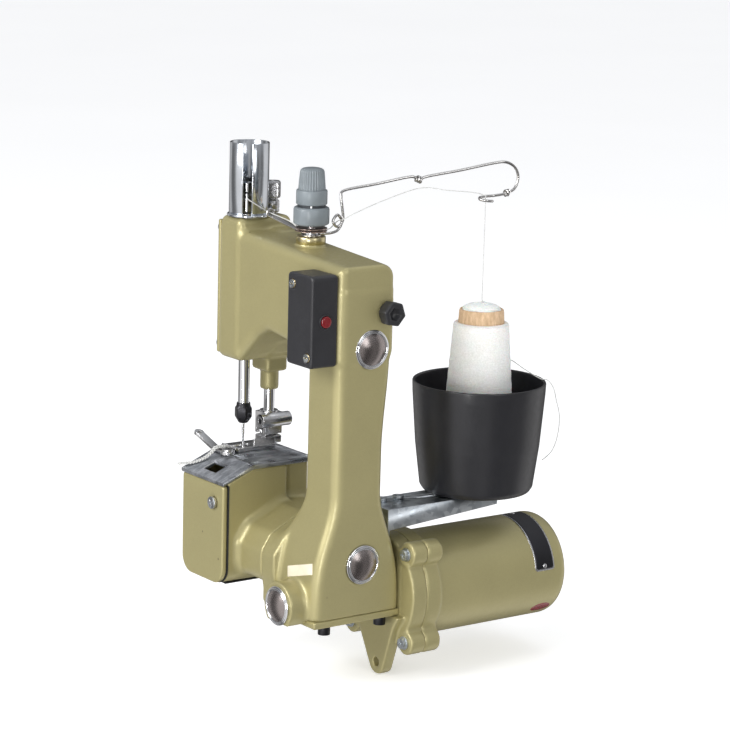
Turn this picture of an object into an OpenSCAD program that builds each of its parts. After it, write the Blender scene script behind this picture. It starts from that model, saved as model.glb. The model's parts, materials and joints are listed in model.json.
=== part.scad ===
// Portable single-thread bag closer. +X is the column's end face, +Y the motor side, +Z up.
// Every position below is measured from the datum: the lower front corner of the column's end face.
// The finished machine is shifted so that the hanging hole in the gearbox ear is the origin.

/* [Column] */
// Width of the grip, along X
grip_w = 37; // [34:1:40]
// Width of the column foot, along X
foot_w = 59; // [56:1:62]
// Depth of the column foot, along Y
foot_d = 72; // [70:1:74]
// Height where the foot flare ends
flare_h = 84; // [80:1:90]
// Height of the column's top edge
column_h = 237; // [234:1:240]
// Casting wall
wall = 4.5; // [4:0.5:5]

/* [Arm and head] */
// Distance from the end face to the head's outer end
reach = 147; // [144:1:150]
// Length of the head, along X
head_l = 28; // [26:1:30]
// Height of the head's underside
head_z = 155; // [152:1:158]
// Height of the head's top
head_top = 255; // [253:1:258]
// Height of the arm's underside
arm_z = 182; // [180:1:184]
// Front face of the arm and column
front_y = 16; // [15:0.5:17]
// Rear face of the arm
rear_y = 60; // [59:1:62]
// Rear face of the head, set back to clear the crank
head_rear = 64; // [63:1:66]

/* [Sewing] */
// Needle bar diameter
needle_bar_d = 8; // [7:0.5:8]
// Presser bar diameter
presser_bar_d = 7.6; // [7:0.2:8]
// Top of the needle plate
plate_z = 89; // [88:0.5:90]
// Crank throw, half of the needle bar stroke
throw = 13; // [12:0.5:14]

/* [Motor] */
// Motor barrel diameter
motor_d = 73; // [72:1:75]
// Length of the barrel behind its flange
motor_l = 115; // [110:1:120]
// Clearance hole in the ear
stand_hole_d = 6.6; // [5.5:0.1:7]

/* [Thread stand] */
// Outer diameter of the bowl's rim
bowl_d = 93; // [88:1:96]
// Height of the bowl
bowl_h = 78; // [74:1:82]
// Guide wire diameter
wire_d = 2; // [1.6:0.2:2.4]
// Thread diameter
thread_d = 0.9; // [0.8:0.1:1.2]

/* [Hidden] */
$fn = 48;
ear_hole = [-18, 70.5, -42];
gold = [0.66, 0.61, 0.42];
black = [0.13, 0.13, 0.15];
steel = [0.72, 0.72, 0.74];
chrome = [0.85, 0.86, 0.88];
nylon = [0.9, 0.88, 0.8];
copper = [0.72, 0.4, 0.22];
iron = [0.38, 0.38, 0.4];
knob_grey = [0.53, 0.58, 0.62];
thread_white = [0.93, 0.93, 0.9];
paper_tan = [0.85, 0.72, 0.55];
fit = 0.05;

upper = [42.6, 182.6];
lower = [39.6, 35.3];
motor_x = -25;
motor_z = 8;
needle_x = -133;
needle_y = 29.5;
presser_y = 51;
tension = [-67, 38];
switch_screws = [[-25.5, 227], [-7.5, 180]];
lifter = [-125.5, 167.2];
knife_y = 11;
foot_pivot_z = 101.5;
feed_x = 3.5;
bracket_bolts = [-34, -14];
bowl_x = -24;
bowl_y = 153;
bracket_z = 68;
worm_r = 6;
wheel_r = lower[1] - motor_z - worm_r;
starts = 3;
wheel_teeth = 30;
worm_lead = starts * 2 * PI * wheel_r / wheel_teeth;
worm_lead_angle = atan(worm_lead / (2 * PI * worm_r));
pulley_r = 8.2;
belt_x = -16;
belt_w = 7;

// ---- helpers ----

module place() { translate(-ear_hole) children(); }

// A cylinder along +X, +Y or +Z that starts at p
module rod_x(p, r, h) { translate(p) rotate([0, 90, 0]) cylinder(r = r, h = h); }
module rod_y(p, r, h) { translate(p) rotate([-90, 0, 0]) cylinder(r = r, h = h); }
module rod_z(p, r, h) { translate(p) cylinder(r = r, h = h); }

// A box from its low corner to its high corner
module block(a, b) { translate(a) cube(b - a); }

// A profile in the Y-Z plane carried along X, and one in the X-Z plane carried along Y
module along_x(x0, x1) { translate([x0, 0, 0]) rotate([90, 0, 90]) linear_extrude(x1 - x0) children(); }
module along_y(y0, y1) { translate([0, y1, 0]) rotate([90, 0, 0]) linear_extrude(y1 - y0) children(); }

// A rectangle with round corners, from exact squares and circles
module round_rect(a, b, r) {
    translate([a[0] + r, a[1]]) square([b[0] - a[0] - 2 * r, b[1] - a[1]]);
    translate([a[0], a[1] + r]) square([b[0] - a[0], b[1] - a[1] - 2 * r]);
    for (x = [a[0] + r, b[0] - r], y = [a[1] + r, b[1] - r]) translate([x, y]) circle(r);
}

function ease(t) = (1 - cos(180 * min(1, max(0, t)))) / 2;
function mix(a, b, t) = a + (b - a) * t;

// ---- castings ----

function flare(z) = ease(pow(min(1, max(0, z / flare_h)), 1.5));
function col_front(z) = mix(1, front_y, flare(z));
function col_rear(z) = mix(foot_d, rear_y - 4.5, flare(z)) + 4.5 * ease((z - 110) / 70);
function col_left(z) = -mix(foot_w, grip_w, ease((z - 12) / (flare_h - 12)));
col_levels = [for (z = [0:6:84]) z, for (z = [110:14:180]) z];

// The column's outline seen along X and along Y, drawn in by t and carried to a flat top
module column_solid(t, z0, z1) {
    zs = concat([z0], [for (z = col_levels) if (z > z0 && z < z1) z], [z1]);
    back = [for (i = [len(zs) - 1:-1:0]) zs[i]];
    intersection() {
        along_x(-foot_w - 1 + t, -t)
            polygon(concat([for (z = zs) [col_front(z) + t, z]], [for (z = back) [col_rear(z) - t, z]]));
        along_y(0, foot_d + 1)
            polygon(concat([for (z = zs) [col_left(z) + t, z]], [[-t, z1], [-t, z0]]));
    }
}

module arm_outline() {
    polygon([[-reach, head_z], [head_l - reach, head_z], [head_l - reach + 2, head_z + 5],
        [-109, arm_z - 14], [-100, arm_z - 6], [-88, arm_z], [-20, arm_z - 9], [-1, arm_z - 9],
        [0, column_h - 4], [-4, column_h], [-112, column_h + 8.5], [-117, column_h + 10],
        [head_l - reach, head_top - 4], [head_l - reach - 3, head_top], [4 - reach, head_top],
        [-reach, head_top - 4]]);
}

module body_casting() color(gold) place() difference() {
    union() {
        column_solid(0, 0, column_h - 5);
        along_y(front_y, rear_y) arm_outline();
        along_y(rear_y - 1, head_rear) intersection() {
            arm_outline();
            translate([-reach, head_z]) square([38, 110]);
        }
        for (x = bracket_bolts) rod_y([x, 56, 57], 5, 9.6);
        rod_x([-118, upper[0], upper[1]], 10, 100);
        block([-60, 6, 3], [-45, 58, 61]);
        block([-141.5, 41, head_z - 10.5], [-120.5, 58, head_z + 1]);
        rod_z([needle_x, presser_y, head_z - 24.5], 6.5, 15);
        rod_z([tension[0], tension[1], column_h + 1], 10, 11.5);
        rod_y([motor_x, -12, motor_z], 16.5, 22);
        block([-1, 45.5, 197], [1, 59, 217]);
    }
    difference() {
        column_solid(wall, -1, arm_z + 8);
        rod_x([-9, upper[0], upper[1]], 12.5, 9);
        rod_x([-9, lower[0], lower[1]], 12.5, 9);
        rod_x([-60, lower[0], lower[1]], 12.5, 14);
        rod_y([motor_x, -12, motor_z], 16.5, 19);
    }
    block([-104, front_y + wall, arm_z + 4], [-wall, rear_y - wall, column_h - wall]);
    block([-98, rear_y - wall - 1, 192], [-12, rear_y + 1, 228]);
    block([-reach - 1, front_y + wall, head_z + 6], [-122, head_rear - 3.5, head_top - 6]);
    rod_x([-122.6, upper[0], upper[1]], 17, 5.2);
    block([-123, front_y + wall, 180], [-120.5, 42, 240]);
    rod_x([-118, upper[0], upper[1]], 8.8, 6);
    // Shaft tunnel, open upward into the arm
    rod_x([-104.5, upper[0], upper[1]], 7.3, 74);
    block([-104.5, upper[0] - 7.3, upper[1]], [-31, upper[0] + 7.3, arm_z + 5]);
    // Bush and cap seats of the two cross shafts
    for (s = [upper, lower]) {
        rod_x([-10, s[0], s[1]], 8, 12);
        rod_x([-3, s[0], s[1]], 12.8, 4);
    }
    rod_x([-113, upper[0], upper[1]], 8, 10);
    rod_x([-61, lower[0], lower[1]], 8, 16);
    // Worm shaft: cap seat, bearing seat, and the way through to the motor
    rod_y([motor_x, -13, motor_z], 12.8, 4);
    rod_y([motor_x, -10, motor_z], 11 + fit, 10);
    rod_y([motor_x, -1, motor_z], 9, 80);
    // Needle bar bushes, presser bar, presser screw
    rod_z([needle_x, needle_y, head_z - 1], 6, 8);
    rod_z([needle_x, needle_y, head_top - 7], 6, 8);
    rod_z([needle_x, presser_y, head_z - 26], presser_bar_d / 2 + fit, 36);
    rod_z([needle_x, presser_y, head_top - 7], 3.5, 8);
    // Oil plug, tension stud, switch lead and lifter shaft
    rod_x([-6, 53.3, 207], 4.05, 8);
    rod_z([tension[0], tension[1], column_h - 6], 2.55, 20);
    rod_y([-16, front_y - 1, 200], 4, 8);
    rod_y([lifter[0], head_rear - 5, lifter[1]], 3.05, 7);
    for (x = bracket_bolts) rod_y([x, 58.7, 57], 2.05, 8);
    // Foot bolts
    for (p = [[-7, 14], [-7, 60]]) rod_z([p[0], p[1], -1], 2.5, 12);
}

// The bed: looper box, rear shelf and the neck that bolts to the column's foot
module bed_neck(t) {
    polygon([[-2 + t, 5 + t], [58 - t, 5 + t], [58 - t, 60 - t], [31, 60 - t], [6 + t / 2, 48 - t],
        [-2 + t, 36]]);
}

module bed_casting() color(gold) place() difference() {
    union() {
        along_x(-95, -60) bed_neck(0);
        along_x(-141, -89) polygon([[-11, 5], [38, 5], [38, 86], [9.5, 86], [-11, 77.6]]);
        block([-141, 34, 5], [-95, 60, 86]);
    }
    along_x(-96, -59) bed_neck(4);
    rod_x([-100, lower[0], lower[1]], 7, 41);
    difference() {
        union() {
            block([-139.2, -12, 4], [-93, 34, 87]);
            block([-139.2, 33, 4], [-99, 56, 87]);
        }
        rod_x([-140, 14, 50], 7, 4);
    }
    // Looper shaft seat through the box's outer wall
    rod_x([-142, 14, 50], 4 + fit, 6);
}

module face_plate() color(gold) place() difference() {
    block([-reach - 3, front_y + 1, 157], [-reach, head_rear - 1, 251]);
    for (y = [22, 58], z = [163, 245]) rod_x([-reach - 4, y, z], 2.1, 5);
}

module rear_cover() color(gold) place() difference() {
    along_y(rear_y, rear_y + 2.5) round_rect([-103, 187], [-7, 233], 6);
    for (x = [-98, -12], z = [192, 228]) rod_y([x, rear_y - 1, z], 2.1, 5);
}

module looper_cover() color(gold) place() difference() {
    union() {
        along_y(-15, -11) round_rect([-141, 6], [-89, 60], 12);
        block([-141, -15, 30], [-89, -11, 76.4]);
    }
    rod_y([-101, -16, 63], 2.1, 6);
}

// The closing plate of the foot, with the boss for each foot bolt
module base_plate() color(gold) place() difference() {
    block([-foot_w, 1, -5], [0, foot_d - 0.2, 0]);
    rod_y([motor_x, -13, motor_z], 16.8, 24);
    for (p = [[-7, 14], [-7, 60]]) rod_z([p[0], p[1], -6], 2.6, 7);
    block([motor_x - 11, 9, -6], [motor_x + 11, 12, 1]);
}

module box_floor() color(black) place() along_y(-15, 60) round_rect([-142, 0], [-88, 5], 2);

// A pan-head screw that points along +Z from its seat at the origin
module pan_screw(len, r = 2, head_r = 3.6, head_h = 2.2) {
    difference() {
        union() {
            cylinder(r = head_r, h = head_h);
            translate([0, 0, -len]) cylinder(r = r, h = len + 0.1);
        }
        for (a = [0, 90]) rotate([0, 0, a]) translate([-2.2, -0.4, head_h - 1]) cube([4.4, 0.8, 2]);
    }
}

module cover_screws() color(steel) place() {
    for (y = [22, 58], z = [163, 245]) translate([-reach - 3, y, z]) rotate([0, -90, 0]) pan_screw(2.9);
    for (x = [-98, -12], z = [192, 228])
        translate([x, rear_y + 2.5, z]) rotate([-90, 0, 0]) pan_screw(2.4);
    translate([-101, -15, 63]) rotate([90, 0, 0]) pan_screw(3.9, head_r = 4.2);
    for (x = [-136.5, -93.5], y = [14, 55]) translate([x, y, plate_z - 0.95]) pan_screw(1.8, 1.6, 3, 0.8);
    for (p = switch_screws) translate([p[0], -5, p[1]]) rotate([90, 0, 0]) pan_screw(4, 1.5, 2.6, 0.6);
    for (y = [76, 90]) translate([-30, y, bracket_z]) pan_screw(2, 2, 4, 2.4);
    translate([bowl_x, bowl_y, bracket_z + 3]) pan_screw(4.8, 2, 5, 2.4);
    for (x = bracket_bolts) translate([x, 67.7, 57]) rotate([-90, 0, 0]) pan_screw(8, 2, 3.7, 2.2);
}

// Knurled socket-head bolts under the foot
module base_screws() color(black) place() for (p = [[-7, 14], [-7, 60]]) translate([p[0], p[1], -11])
    difference() {
        union() {
            cylinder(r = 4.2, h = 6);
            translate([0, 0, 6]) cylinder(r = 2.4, h = 14);
        }
        translate([0, 0, -1]) cylinder(r = 2.3, h = 4, $fn = 6);
        for (a = [0:15:359]) rotate([0, 0, a]) translate([4.35, -0.25, -1]) cube([1, 0.5, 6]);
    }

// Steel plate over the looper box: level round the needle, sloping down to the front edge
module needle_plate() color(steel) place() difference() {
    along_x(-142, -88) polygon([[-15.5, 76.6], [-15.5, 79], [9, plate_z], [60, plate_z],
        [60, 86.1], [9.5, 86.1]]);
    rod_z([needle_x, needle_y, 80], 1.6, 12);
    for (x = [-feed_x, feed_x]) block([needle_x + x - 1.6, 18, 80], [needle_x + x + 1.6, 44, 92]);
    block([-124, -9, 70], [-108, 1, 92]);
    for (x = [-136.5, -93.5], y = [14, 55]) {
        rod_z([x, y, 80], 1.7, 12);
        rod_z([x, y, plate_z - 0.98], 3.1, 2);
    }
    rod_z([-124, knife_y, 80], 2.05, 12);
}

// Domed chrome caps that close the ends of the three bearing bores
module end_cap() difference() {
    union() {
        rotate_extrude() polygon([[0, -2.9], [12.75, -2.9], [12.75, 0], [13.4, 0], [13.4, 1.2],
            [12.2, 1.8], [11.4, 0.9], [10.6, 1], [0, 1]]);
        intersection() {
            translate([0, 0, -16.5]) sphere(r = 20.6, $fn = 64);
            cylinder(r = 10.6, h = 8);
        }
    }
    translate([0, 0, -3]) cylinder(r = 9, h = 1.6);
}

module end_caps() color(chrome) place() {
    for (s = [upper, lower]) translate([0, s[0], s[1]]) rotate([0, 90, 0]) end_cap();
    translate([motor_x, -12, motor_z]) rotate([90, 0, 0]) end_cap();
}

// Hexagonal filler plug
module oil_plug() color(black) place() translate([1, 53.3, 207]) rotate([0, 90, 0]) difference() {
    union() {
        cylinder(r = 6.6, h = 2.5);
        translate([0, 0, 2.5]) cylinder(r = 8.6, h = 7.5, $fn = 6);
        translate([0, 0, -5.5]) cylinder(r = 4, h = 6);
    }
    translate([0, 0, 8.6]) cylinder(r = 4.5, h = 2);
}

// ---- motor ----

lug_r = 44;
lug_angles = [45, 135, 225, 315];

module lug_holes(y0, h, r) for (a = lug_angles)
    rod_y([motor_x + lug_r * cos(a), y0, motor_z + lug_r * sin(a)], r, h);

// Gearbox flange between foot and motor, with the three-cornered hanging ear under it
module gearbox_flange() color(gold) place() difference() {
    union() {
        rod_y([motor_x, foot_d, motor_z], 40, 12);
        lug_holes(foot_d, 12, 8.5);
        block([-56, foot_d, -14], [0, foot_d + 6, 30]);
        along_y(66, 75) difference() {
            union() {
                polygon([[-48, -5.2], [-26, -45.5], [-9.6, -43.6], [0.5, -14], [6, -5.2]]);
                translate([ear_hole[0], ear_hole[2]]) circle(8.5);
            }
            translate([motor_x, motor_z]) circle(16);
        }
    }
    rod_y([motor_x, 60, motor_z], 8, 20);
    rod_y([motor_x, 76, motor_z], 11 + fit, 12);
    lug_holes(foot_d - 1, 14, 2.6);
    rod_y([ear_hole[0], 60, ear_hole[2]], stand_hole_d / 2, 20);
}

module motor_housing() color(gold) place() {
    y0 = foot_d + 12;
    y1 = y0 + 13 + motor_l;
    r = motor_d / 2;
    difference() {
        union() {
            translate([motor_x, y0, motor_z]) rotate([-90, 0, 0]) rotate_extrude($fn = 96) {
                square([r, y1 - y0 - 8]);
                square([r - 8, y1 - y0]);
                translate([r - 8, y1 - y0 - 8]) circle(8);
                square([40, 13]);
            }
            lug_holes(y0, 13, 8.5);
            rod_x([motor_x - r - 5, y1 - 30, motor_z], 9, 12);
        }
        rod_y([motor_x, y0 - 1, motor_z], r - 3.5, y1 - y0 - 8);
        rod_y([motor_x, y1 - 16, motor_z], 11 + fit, 8.5);
        lug_holes(y0 - 1, 11, 2.05);
        rod_x([motor_x - r - 6, y1 - 30, motor_z], 6.05, 13);
    }
}

module motor_screws() color(steel) place() for (a = lug_angles)
    translate([motor_x + lug_r * cos(a), foot_d, motor_z + lug_r * sin(a)]) rotate([90, 0, 0]) {
        translate([0, 0, 0.1]) difference() {
            cylinder(r = 4.6, h = 1);
            translate([0, 0, -1]) cylinder(r = 2.1, h = 3);
        }
        translate([0, 0, 1.2]) pan_screw(20, 2, 3.7, 2.3);
    }

module stator() color(iron) place() translate([motor_x, 112, motor_z]) rotate([-90, 0, 0]) difference() {
    cylinder(r = motor_d / 2 - 3.6, h = 52);
    translate([0, 0, -1]) cylinder(r = 19, h = 54);
    for (a = [0, 180]) rotate([0, 0, a]) translate([14, -9, -1]) cube([13, 18, 54]);
}

module armature() color(copper) place() translate([motor_x, 112, motor_z]) rotate([-90, 0, 0]) difference() {
    union() {
        cylinder(r = 18.4, h = 52);
        translate([0, 0, -7]) cylinder(r = 15, h = 66);
        translate([0, 0, 58]) cylinder(r = 11, h = 16);
    }
    translate([0, 0, -8]) cylinder(r = 4.01, h = 90);
    for (a = [0:30:359]) rotate([0, 0, a]) translate([17, -0.8, -1]) cube([3, 1.6, 54]);
    for (a = [0:15:359]) rotate([0, 0, a]) translate([10.3, -0.2, 60]) cube([1, 0.4, 20]);
}

module cooling_fan() color(black) place() translate([motor_x, 92, motor_z]) rotate([-90, 0, 0]) difference() {
    union() {
        cylinder(r = 29, h = 1.6);
        cylinder(r = 8, h = 10);
        for (a = [0:30:359]) rotate([0, 0, a]) translate([7, -0.8, 0]) cube([21.5, 1.6, 10]);
    }
    translate([0, 0, -1]) cylinder(r = 4.01, h = 13);
}

// Rotor shaft, with the three-start worm cut near its front end
worm_y0 = lower[0] - 13;
module motor_shaft() color(steel) place() {
    rod_y([motor_x, -6, motor_z], 3.96, worm_y0 + 6);
    rod_y([motor_x, worm_y0 + 26, motor_z], 3.96, 203.8 - worm_y0 - 26);
    translate([motor_x, worm_y0, motor_z]) rotate([-90, 0, 0])
        linear_extrude(26, twist = -360 * 26 / worm_lead, slices = 26)
            rotate(270 - 360 * 13 / worm_lead) {
                circle(4.2, $fn = 18);
                for (a = [0:120:359]) rotate(a) polygon([[0, -2.3], [4, -2.3], [7, -0.8], [7, 0.8],
                    [4, 2.3], [0, 2.3]]);
            }
}

module brushes() color(iron) place() for (a = [1, -1])
    translate([motor_x - 3, 174, motor_z + (a > 0 ? 11.15 : -25.15)]) cube([6, 8, 14]);

// Deep-groove bearing, 22 x 8 x 7
module ball_bearing() {
    difference() {
        cylinder(r = 11, h = 7);
        translate([0, 0, -1]) cylinder(r = 9, h = 9);
    }
    difference() {
        cylinder(r = 6, h = 7);
        translate([0, 0, -1]) cylinder(r = 4, h = 9);
    }
    for (a = [0:45:359]) rotate([0, 0, a]) translate([7.5, 0, 3.5]) sphere(r = 1.48, $fn = 20);
}

module ball_bearings() color(steel) place() for (y = [-9, 76.2, 197.2])
    translate([motor_x, y, motor_z]) rotate([-90, 0, 0]) ball_bearing();

// ---- drive train ----

module worm_wheel() color(nylon) place() translate([motor_x - 4, lower[0], lower[1]]) rotate([90, 0, 90])
    difference() {
        union() {
            linear_extrude(8, twist = -8 * tan(worm_lead_angle) / wheel_r * 180 / PI, slices = 3)
                rotate(-4 * tan(worm_lead_angle) / wheel_r * 180 / PI) union() {
                    circle(wheel_r - 1.9, $fn = 60);
                    for (i = [0:wheel_teeth - 1]) rotate(i * 360 / wheel_teeth)
                        polygon([[wheel_r - 3, -1], [wheel_r + 0.6, -0.5], [wheel_r + 0.6, 0.5],
                            [wheel_r - 3, 1]]);
                }
            translate([0, 0, -2]) cylinder(r = 9, h = 10.2);
        }
        translate([0, 0, -3]) cylinder(r = 5.01, h = 16);
    }

module lower_shaft() color(steel) place() {
    rod_x([-112, lower[0], lower[1]], 4.96, 108.5);
    // Feed eccentric and looper crank
    rod_x([-108, lower[0] + 2.5, lower[1]], 9, 7);
    rod_x([-118, lower[0], lower[1]], 8, 6);
}

module pulley(axis) color(iron) place() translate([belt_x, axis[0], axis[1]]) rotate([0, 90, 0]) difference() {
    union() {
        translate([0, 0, -4.4]) cylinder(r = pulley_r, h = 8.8);
        for (z = [-4.6, 3.8]) translate([0, 0, z]) cylinder(r = pulley_r + 1.6, h = 0.8);
    }
    for (i = [0:17]) rotate([0, 0, i * 20]) translate([pulley_r + 0.3, 0, -3.5]) cylinder(r = 0.9, h = 7);
    translate([0, 0, -5]) cylinder(r = 5.01, h = 12);
}
module lower_pulley() pulley(lower);
module upper_pulley() pulley(upper);

module belt_loop(t) hull() for (s = [upper, lower]) translate(s) circle(pulley_r + t);
module drive_belt() color(black) place() along_x(belt_x - belt_w / 2, belt_x + belt_w / 2) difference() {
    belt_loop(1.5);
    belt_loop(0.1);
}

module upper_shaft() color(steel) place() rod_x([-117, upper[0], upper[1]], 4.96, 113.5);

module bush(r_in, r_out, len) difference() {
    cylinder(r = r_out, h = len);
    translate([0, 0, -1]) cylinder(r = r_in, h = len + 2);
}

module shaft_bushes() color([0.75, 0.58, 0.3]) place() {
    for (s = [upper, lower]) translate([-9.4, s[0], s[1]]) rotate([0, 90, 0]) bush(5.01, 7.97, 6);
    translate([-111.5, upper[0], upper[1]]) rotate([0, 90, 0]) bush(5.01, 7.97, 7);
    translate([-59.5, lower[0], lower[1]]) rotate([0, 90, 0]) bush(5.01, 7.97, 12);
    translate([needle_x, needle_y, head_z]) bush(needle_bar_d / 2 + fit, 5.97, 6);
    translate([needle_x, needle_y, head_top - 6]) bush(needle_bar_d / 2 + fit, 5.97, 6);
}

// ---- needle drive ----

rest_drop = 4;
crank_a = asin(rest_drop / throw);
pin_pos = [upper[0] - throw * cos(crank_a), upper[1] - rest_drop];
link_l = 30;
link_top = pin_pos[1] + link_l;

// Disc crank; its pin stops just short of the link, where the closed linkage is opened
module needle_crank() color(steel) place() difference() {
    union() {
        rod_x([-121, upper[0], upper[1]], 16.2, 3);
        rod_x([-122, pin_pos[0], pin_pos[1]], 2.4, 2);
        rod_x([-118.2, upper[0], upper[1]], 8, 4.6);
    }
    rod_x([-117.01, upper[0], upper[1]], 4.98, 8);
}

module needle_link() color(steel) place() difference() {
    union() {
        rod_x([-126.4, pin_pos[0], pin_pos[1]], 4.4, 4);
        rod_x([-126.4, needle_y, link_top], 5, 4);
        block([-126.4, needle_y - 3.2, pin_pos[1]], [-122.4, needle_y + 3.2, link_top]);
    }
    rod_x([-127, pin_pos[0], pin_pos[1]], 2.45, 6);
    rod_x([-127, needle_y, link_top], 2.05, 6);
}

module needle_bar() color(chrome) place() difference() {
    union() {
        rod_z([needle_x, needle_y, 118], needle_bar_d / 2, 160);
        rod_z([needle_x, needle_y, link_top - 5], 6.3, 10);
        rod_x([-129, needle_y, link_top], 4, 2.4);
        rod_x([-127, needle_y, link_top], 2, 5.6);
        rod_x([-122.3, needle_y, link_top], 3.2, 1);
    }
    rod_z([needle_x, needle_y, 117], 1.5, 162);
    translate([needle_x, needle_y, 271]) rotate([0, 90, -36]) cylinder(r = 1.1, h = 6);
}

module needle_clamp() color(black) place() translate([needle_x, needle_y, 108]) difference() {
    union() {
        translate([0, 0, 4]) cylinder(r = 6, h = 8);
        rotate_extrude() polygon([[0, 0], [3.2, 0], [6, 4], [0, 4]]);
        translate([0, 0, 12]) cylinder(r1 = 6, r2 = 4.6, h = 2.5);
    }
    translate([0, 0, 9.95]) cylinder(r = needle_bar_d / 2 + 0.02, h = 6);
    translate([0, 0, -1]) cylinder(r = 1.02, h = 12);
}

module needle() color(chrome) place() difference() {
    union() {
        rod_z([needle_x, needle_y, 100], 1, 17.5);
        rod_z([needle_x, needle_y, 88], 0.75, 12.1);
        translate([needle_x, needle_y, 83]) cylinder(r1 = 0.1, r2 = 0.75, h = 5.05);
    }
    rod_x([needle_x - 2, needle_y, 88.5], 0.25, 4);
}

// ---- presser foot ----

module presser_bar() color(chrome) place() {
    rod_z([needle_x, presser_y, 104.7], presser_bar_d / 2, 87.3);
    rod_z([needle_x, presser_y, 164.9], 5.4, 27.1);
}

module presser_spring() color(steel) place() difference() {
    rod_z([needle_x, presser_y, 192.2], 5.2, 44);
    rod_z([needle_x, presser_y, 191], 3.7, 47);
    for (i = [0:9]) translate([needle_x, presser_y, 194.5 + i * 4.1]) difference() {
        cylinder(r = 7, h = 2.2);
        translate([0, 0, -1]) cylinder(r = 4.2, h = 5);
    }
}

module presser_screw() color(steel) place() translate([needle_x, presser_y, 0]) {
    rod_z([0, 0, 236.4], 6, 3);
    rod_z([0, 0, 239], 3.4, 27);
    rod_z([0, 0, 256], 4.6, 8.5);
    difference() {
        rod_z([0, 0, 266], 5.4, 12);
        for (a = [0:15:359]) rotate([0, 0, a]) translate([5.1, -0.3, 267]) cube([1, 0.6, 12]);
        block([-6, -0.7, 275.5], [6, 0.7, 279]);
    }
}

// Clamp block on the presser bar, with the cross barrel beside it and the pin that the foot hangs from
module foot_holder() color(steel) place() {
    difference() {
        union() {
            block([needle_x - 6.5, presser_y - 7, 98.5], [needle_x + 6.5, presser_y + 7, 114]);
            rod_y([needle_x + 7, presser_y - 12, 109], 5, 24);
            rod_z([needle_x, presser_y, 100.5], 6.5, 14.5);
        }
        rod_z([needle_x, presser_y, 99.5], presser_bar_d / 2 + 0.01, 20);
        rod_y([needle_x + 7, presser_y - 13, 109], 2.2, 26);
        block([needle_x - 4, presser_y - 8, 98], [needle_x + 4, presser_y + 8, 104.6]);
    }
    rod_x([needle_x - 6.4, presser_y, foot_pivot_z], 1.45, 12.8);
}

module presser_foot() color(steel) place() difference() {
    union() {
        rod_x([needle_x - 3.6, presser_y, foot_pivot_z], 2.8, 7.2);
        block([needle_x - 3.7, presser_y - 5, 91], [needle_x + 3.7, presser_y + 5, foot_pivot_z - 1]);
        block([needle_x - 9, needle_y - 9, plate_z + 0.3], [needle_x + 9, presser_y, plate_z + 3]);
        block([needle_x + 7, needle_y + 4, plate_z + 0.6], [needle_x + 8.8, presser_y - 0.2, 97]);
        translate([needle_x, needle_y - 9, plate_z + 0.3]) rotate([-32, 0, 0])
            translate([-8.9, -4, 0.02]) cube([17.8, 4.4, 1.8]);
    }
    block([needle_x - 2.2, needle_y - 20, 88], [needle_x + 2.2, needle_y + 5, 99]);
    rod_x([needle_x - 12, presser_y, foot_pivot_z], 1.5, 24);
}

// Hand lever behind the head; the finger on its inner end lifts the collar of the presser bar
module lifter_lever() color(steel) place() {
    rod_y([lifter[0], 55.2, lifter[1]], 3, 13);
    rod_y([lifter[0], head_rear + 0.3, lifter[1]], 5, 3.4);
    translate([lifter[0], 58.5, lifter[1]]) rotate([90, 0, 0]) linear_extrude(3.3) {
        circle(3.4);
        hull() {
            circle(2);
            translate([-3.4, -4.4]) circle(1.3);
        }
        hull() {
            translate([-3.4, -4.4]) circle(1.3);
            translate([-9.06, -4.23]) circle(1.8);
        }
    }
    translate([lifter[0], head_rear + 6.7, lifter[1]]) rotate([90, 0, 0]) linear_extrude(3) {
        circle(7);
        translate([0, -3.5]) square([24, 7]);
        translate([24, 0]) circle(4.5);
    }
}

// ---- bed mechanism ----

// Hook that takes the loop from the needle: an arc about the rocking shaft, pointed towards the needle
function hook(r0, r1) = concat([for (a = [60:4:88]) r1 * [cos(a), sin(a)]],
    [for (a = [88:-4:64]) mix(r1, r0, ease((a - 60) / 14)) * [cos(a), sin(a)]]);
module looper() color(chrome) place() {
    rod_x([-142, 14, 50], 3.96, 44);
    translate([-132, 14, 50]) rotate([90, 0, 90]) linear_extrude(2.5) {
        polygon(hook(26.4, 29.4));
        circle(6.5);
        rotate(84) translate([2, -2.2]) square([26, 4.4]);
    }
}

module feed_dog() color(steel) place() {
    for (x = [-feed_x, feed_x]) {
        block([needle_x + x - 1.2, 23, 81], [needle_x + x + 1.2, 39, plate_z - 1]);
        for (i = [0:6]) translate([needle_x + x - 1.2, 23 + i * 2.3, plate_z - 1]) rotate([90, 0, 90])
            linear_extrude(2.4) polygon([[0, -0.1], [2.2, -0.1], [0.4, 0.8]]);
    }
    block([needle_x - 5.6, 20, 79.8], [needle_x - 2, 42, 82]);
    block([needle_x + 2, 20, 79.8], [needle_x + 5.6, 42, 82]);
    block([needle_x - 5.6, 38, 79.8], [needle_x + 18, 42, 82]);
}

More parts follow.
